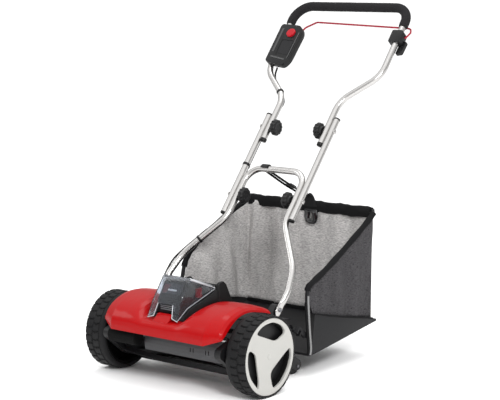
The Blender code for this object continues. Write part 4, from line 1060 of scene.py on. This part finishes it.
# The folds of each panel: (top, its height, foot, its height, width, depth), across the panel.
LEFT_FOLDS = [
    (0.45, 0.37, 0.52, 0.13, 0.016, -0.02), (0.4, 0.35, 0.47, 0.12, 0.018, 0.012),
    (0.34, 0.31, 0.43, 0.14, 0.016, -0.016), (0.29, 0.28, 0.36, 0.15, 0.015, 0.008),
]
BACK_FOLDS = [
    (-0.195, 0.41, -0.232, 0.15, 0.012, -0.026), (-0.15, 0.42, -0.2, 0.12, 0.016, 0.014),
    (-0.105, 0.4, -0.12, 0.12, 0.016, -0.01), (-0.02, 0.41, -0.04, 0.13, 0.02, -0.006),
    (0.06, 0.42, 0.05, 0.1, 0.03, -0.006), (0.17, 0.42, 0.19, 0.1, 0.03, 0.008),
]
RIGHT_FOLDS = [
    (0.4, 0.33, 0.43, 0.14, 0.012, -0.008), (0.46, 0.36, 0.47, 0.13, 0.016, 0.006),
    (0.52, 0.37, 0.52, 0.12, 0.012, -0.006),
]


def folds(table, x, z):
    """How far a panel's hanging folds stand out at a point of it."""
    out = 0.0
    for x_top, z_top, x_low, z_low, width, depth in table:
        t = (z_top - z) / (z_top - z_low)
        if -0.1 < t < 1.1:
            fade = min(1.0, 6 * (t + 0.1), 6 * (1.1 - t))
            middle = x_top + (x_low - x_top) * t + 0.008 * math.sin(3 * t)
            out += depth * fade * math.exp(-(((x - middle) / width) ** 2))
    return out


def soften(bm, rounds):
    """Rounds the folds and the corner of a hanging cloth, without moving its edges."""
    inside = [v for v in bm.verts if not v.is_boundary]
    for _ in range(rounds):
        bmesh.ops.smooth_vert(
            bm, verts=inside, factor=0.5, use_axis_x=True, use_axis_y=True, use_axis_z=False,
        )
    return bm


def side_points(rail, across, v):
    """The flat (y, z) points of a side panel at a share v of the way down, with each one's t."""
    for i in range(across + 1):
        t = i / across
        top, foot = read(rail[4:], t), read(SEAM, t)
        yield t, top[0] + (foot[0] - top[0]) * v, top[1] + (foot[1] - top[1]) * v


def bag_mesh():
    """Two sheets that sag between their edges: the left side with the back, and the right side."""
    across, down = 44, 26
    wrap, right_rows = [], []
    for j in range(down + 1):
        v = j / down
        sag = math.sin(math.pi * v)
        row = []
        for t, y, z in side_points(LEFT_RAIL, across, v):
            push = 0.012 * sag * math.sin(math.pi * t) + folds(LEFT_FOLDS, y, z)
            row.append(at(-0.229 + push * 0.8, min(y + 0.003, 0.558), z))
        for i in range(1, across + 1):
            t = i / across
            x = -0.229 + BACK_WIDE * t
            y, z = 0.558 - 0.002 * v, 0.423 - BACK_DEEP * v
            bulge = 0.008 * sag * math.sin(math.pi * t) + folds(BACK_FOLDS, x, z)
            bulge += 0.0025 * noise.noise(Vector((x * 30, 0, z * 12)))
            row.append(at(x, y + bulge, z))
        wrap.append(row)
        row = []
        for t, y, z in side_points(RIGHT_RAIL, across, v):
            push = 0.006 * sag * math.sin(math.pi * t) + folds(RIGHT_FOLDS, y, z)
            push += 0.0015 * noise.noise(Vector((0, y * 40, z * 20)))
            row.append(at(0.231 + push, min(y, 0.559), z))
        right_rows.append(row)
    back = make("bag_mesh_back", soften(grid(wrap), 5), MESH, "bag", ["bag_fabric"], smooth=80)
    right = make("bag_mesh_right", grid(right_rows), MESH_DARK, "bag", smooth=80)
    for sheet in (back, right):
        thicken(sheet, 0.0009, 0)
    return back, right


def tray():
    """Stiff black floor with a triangular wing each side, and a lip behind."""
    bm = bmesh.new()
    corners = {
        "front": (0.245, 0.057), "rear": (0.572, 0.1005),
        "seam_rear": (0.572, 0.1075), "seam_front": SEAM[0],
    }
    ring = {}
    for name, side in SIDES:
        for key, (y, z) in corners.items():
            ring[name, key] = bm.verts.new(at(side * 0.2395, y, z))
        bm.faces.new([ring[name, key] for key in ("front", "rear", "seam_rear", "seam_front")])
    for a, b in (("front", "rear"), ("rear", "seam_rear")):
        bm.faces.new([ring["left", a], ring["right", a], ring["right", b], ring["left", b]])
    shell = make("tray_shell", bm, TRAY, "bag", ["bag_tray"], smooth=25)
    if sum(p.normal.z * p.area for p in shell.data.polygons) > 0:
        shell.data.flip_normals()
    thicken(shell, 0.0025)
    ease(shell, 0.001, 2, 30)
    for name, side in SIDES:
        line = [at(side * 0.2392, y, z + 0.0005) for y, z in SEAM]
        make(f"tray_welt_{name}", tube(curve_points(line, 8), 0.0022, 8), BINDING, "bag")
    foot = [at(x, 0.2462, 0.06) for x in (-0.23, 0.23)]
    make("tray_foot_bar", tube(foot, 0.0045, 12), BLACK_STEEL, "bag")
    rear_band = prism(rect(0.552, 0.102, 0.558, 0.113), along_x, -0.233, 0.233)
    make("tray_rear_band", rear_band, BINDING, "bag", bevel=0.001)


def strap():
    """Two runs of webbing from the bag's bar to a plastic hook over the handle's arch."""
    arch = on_handle(0, -0.528)
    hook_x0, hook_x1 = -0.058, -0.034
    steps = 14
    start, end = SLOPE + math.radians(105), SLOPE - math.radians(60)
    outline = []
    for radius in (0.014, 0.0102):
        turns = [start + (end - start) * k / steps for k in range(steps + 1)]
        if radius < 0.012:
            turns = turns[::-1]
        outline += [(arch.y - SHIFT + radius * math.cos(t), arch.z + radius * math.sin(t)) for t in turns]
    make(
        "strap_hook", prism(outline, along_x, hook_x0, hook_x1), BLACK, "bag", ["bag_strap"], 40, 0.0008,
        slot="webbing",
    )
    top = on_handle(-0.046, -0.528, -0.013)
    ends = at(0.005, 0.554, 0.448)
    for k, (offset, lift) in enumerate(((-0.0085, 0.0), (0.0085, 0.004))):
        p, q = top + Vector((offset, 0, 0)), ends + Vector((offset, 0, lift))
        mid = p.lerp(q, 0.5) + Vector((0, 0, -0.004))
        band = curve_points([p, mid, q], 10)
        make(
            f"strap_run_{k}", tube(band, [(0.006, 0.0024)] * len(band), 10, Vector((0, 0.6, 0.8))), WEBBING,
            "bag",
        )
    middle = top.lerp(ends, 0.55)
    way = (ends - top).normalized()
    side_way = Vector((1, 0, 0)) - way * way.x
    side_way.normalize()
    normal = way.cross(side_way)
    plate = rounded(rect(-0.014, -0.012, 0.014, 0.012), 0.004, 3)
    make(
        "strap_buckle",
        prism(plate, lambda u, v, w: middle + side_way * u + way * v + normal * w, -0.003, 0.003),
        BLACK_GLOSS, "bag", bevel=0.001,
    )
    flap = rounded(
        [(-0.033, 0.422), (0.033, 0.422), (0.015, 0.456), (0.004, 0.464), (-0.006, 0.456)], 0.004,
        3,
    )
    make(
        "strap_plate", prism(flap, lambda u, v, w: at(u + 0.004, w, v), 0.55, 0.556), WEBBING, "bag",
        bevel=0.001,
    )
    tab = [
        (-0.008, 0.415), (0.04, 0.415), (0.04, 0.385), (0.03, 0.37), (0.002, 0.37),
        (-0.008, 0.385),
    ]
    slot_hole = rounded(rect(0.011, 0.406, 0.021, 0.385), 0.004, 3)
    body = prism(rounded(tab, 0.008, 4), upright, 0.5465, 0.5505)
    plate = make("bag_tab", body, BLACK_GLOSS, "bag", bevel=0.0008)
    cut(plate, [prism(slot_hole, upright, 0.54, 0.56)])


bag_frame()
back_mesh, right_mesh = bag_mesh()
tray()
strap()


# Stage ---------------------------------------------------------------------------------------

FLOOR_HALF = 90.0
CAMERA_PLACE = (2.7501, -3.1821 + SHIFT, 1.1186)
AZIMUTH, ELEVATION = math.radians(38.504), math.radians(8.323)


def stage():
    """Pale floor, a sky that is darker just above the horizon, three lamps and the photo's camera."""
    scene = bpy.context.scene
    bm = bmesh.new()
    bm.faces.new([bm.verts.new((x, y, 0)) for x, y in rect(-FLOOR_HALF, -FLOOR_HALF, FLOOR_HALF, FLOOR_HALF)])
    floor = make("floor", bm, FLOOR, None)
    world = bpy.data.worlds.new("studio")
    scene.world = world
    world.use_nodes = True
    nodes, links = world.node_tree.nodes, world.node_tree.links
    place = nodes.new("ShaderNodeTexCoord")
    split = nodes.new("ShaderNodeSeparateXYZ")
    rise = nodes.new("ShaderNodeValToRGB")
    rise.color_ramp.elements[0].color = (0.57, 0.57, 0.57, 1)  # the ramp's last stop stays white
    for height, level in ((0.1, 0.57), (0.16, 0.22), (0.25, 0.26), (0.6, 0.6)):
        rise.color_ramp.elements.new(height).color = (level, level, level, 1)
    links.new(place.outputs["Generated"], split.inputs["Vector"])
    links.new(split.outputs["Z"], rise.inputs["Fac"])
    links.new(rise.outputs["Color"], nodes["Background"].inputs["Color"])
    nodes["Background"].inputs["Strength"].default_value = 1.75
    for name, place, target, power, width in (
        ("key", (2.6, -2.0, 2.2), (0, 0, 0.3), 85, 0.8),
        ("fill", (-2.8, -1.6, 2.0), (0, 0, 0.4), 20, 1.4),
        ("top", (0.2, 0.6, 3.2), (0, 0, 0.3), 25, 1.6),
    ):
        light = bpy.data.lights.new(name, "AREA")
        light.energy = power
        light.size = width
        lamp = bpy.data.objects.new(name, light)
        scene.collection.objects.link(lamp)
        lamp.location = place
        lamp.rotation_euler = (Vector(target) - Vector(place)).to_track_quat("-Z", "Y").to_euler()
    camera = bpy.data.cameras.new("photo_view")
    camera.lens = 112.4
    camera.sensor_width = 36
    eye = bpy.data.objects.new("photo_view", camera)
    scene.collection.objects.link(eye)
    back = Vector((
        math.sin(AZIMUTH) * math.cos(ELEVATION), -math.cos(AZIMUTH) * math.cos(ELEVATION), math.sin(ELEVATION)
    ))
    eye.location = CAMERA_PLACE
    eye.rotation_euler = (-back).to_track_quat("-Z", "Y").to_euler()
    scene.camera = eye
    scene.view_settings.view_transform = "Standard"


stage()
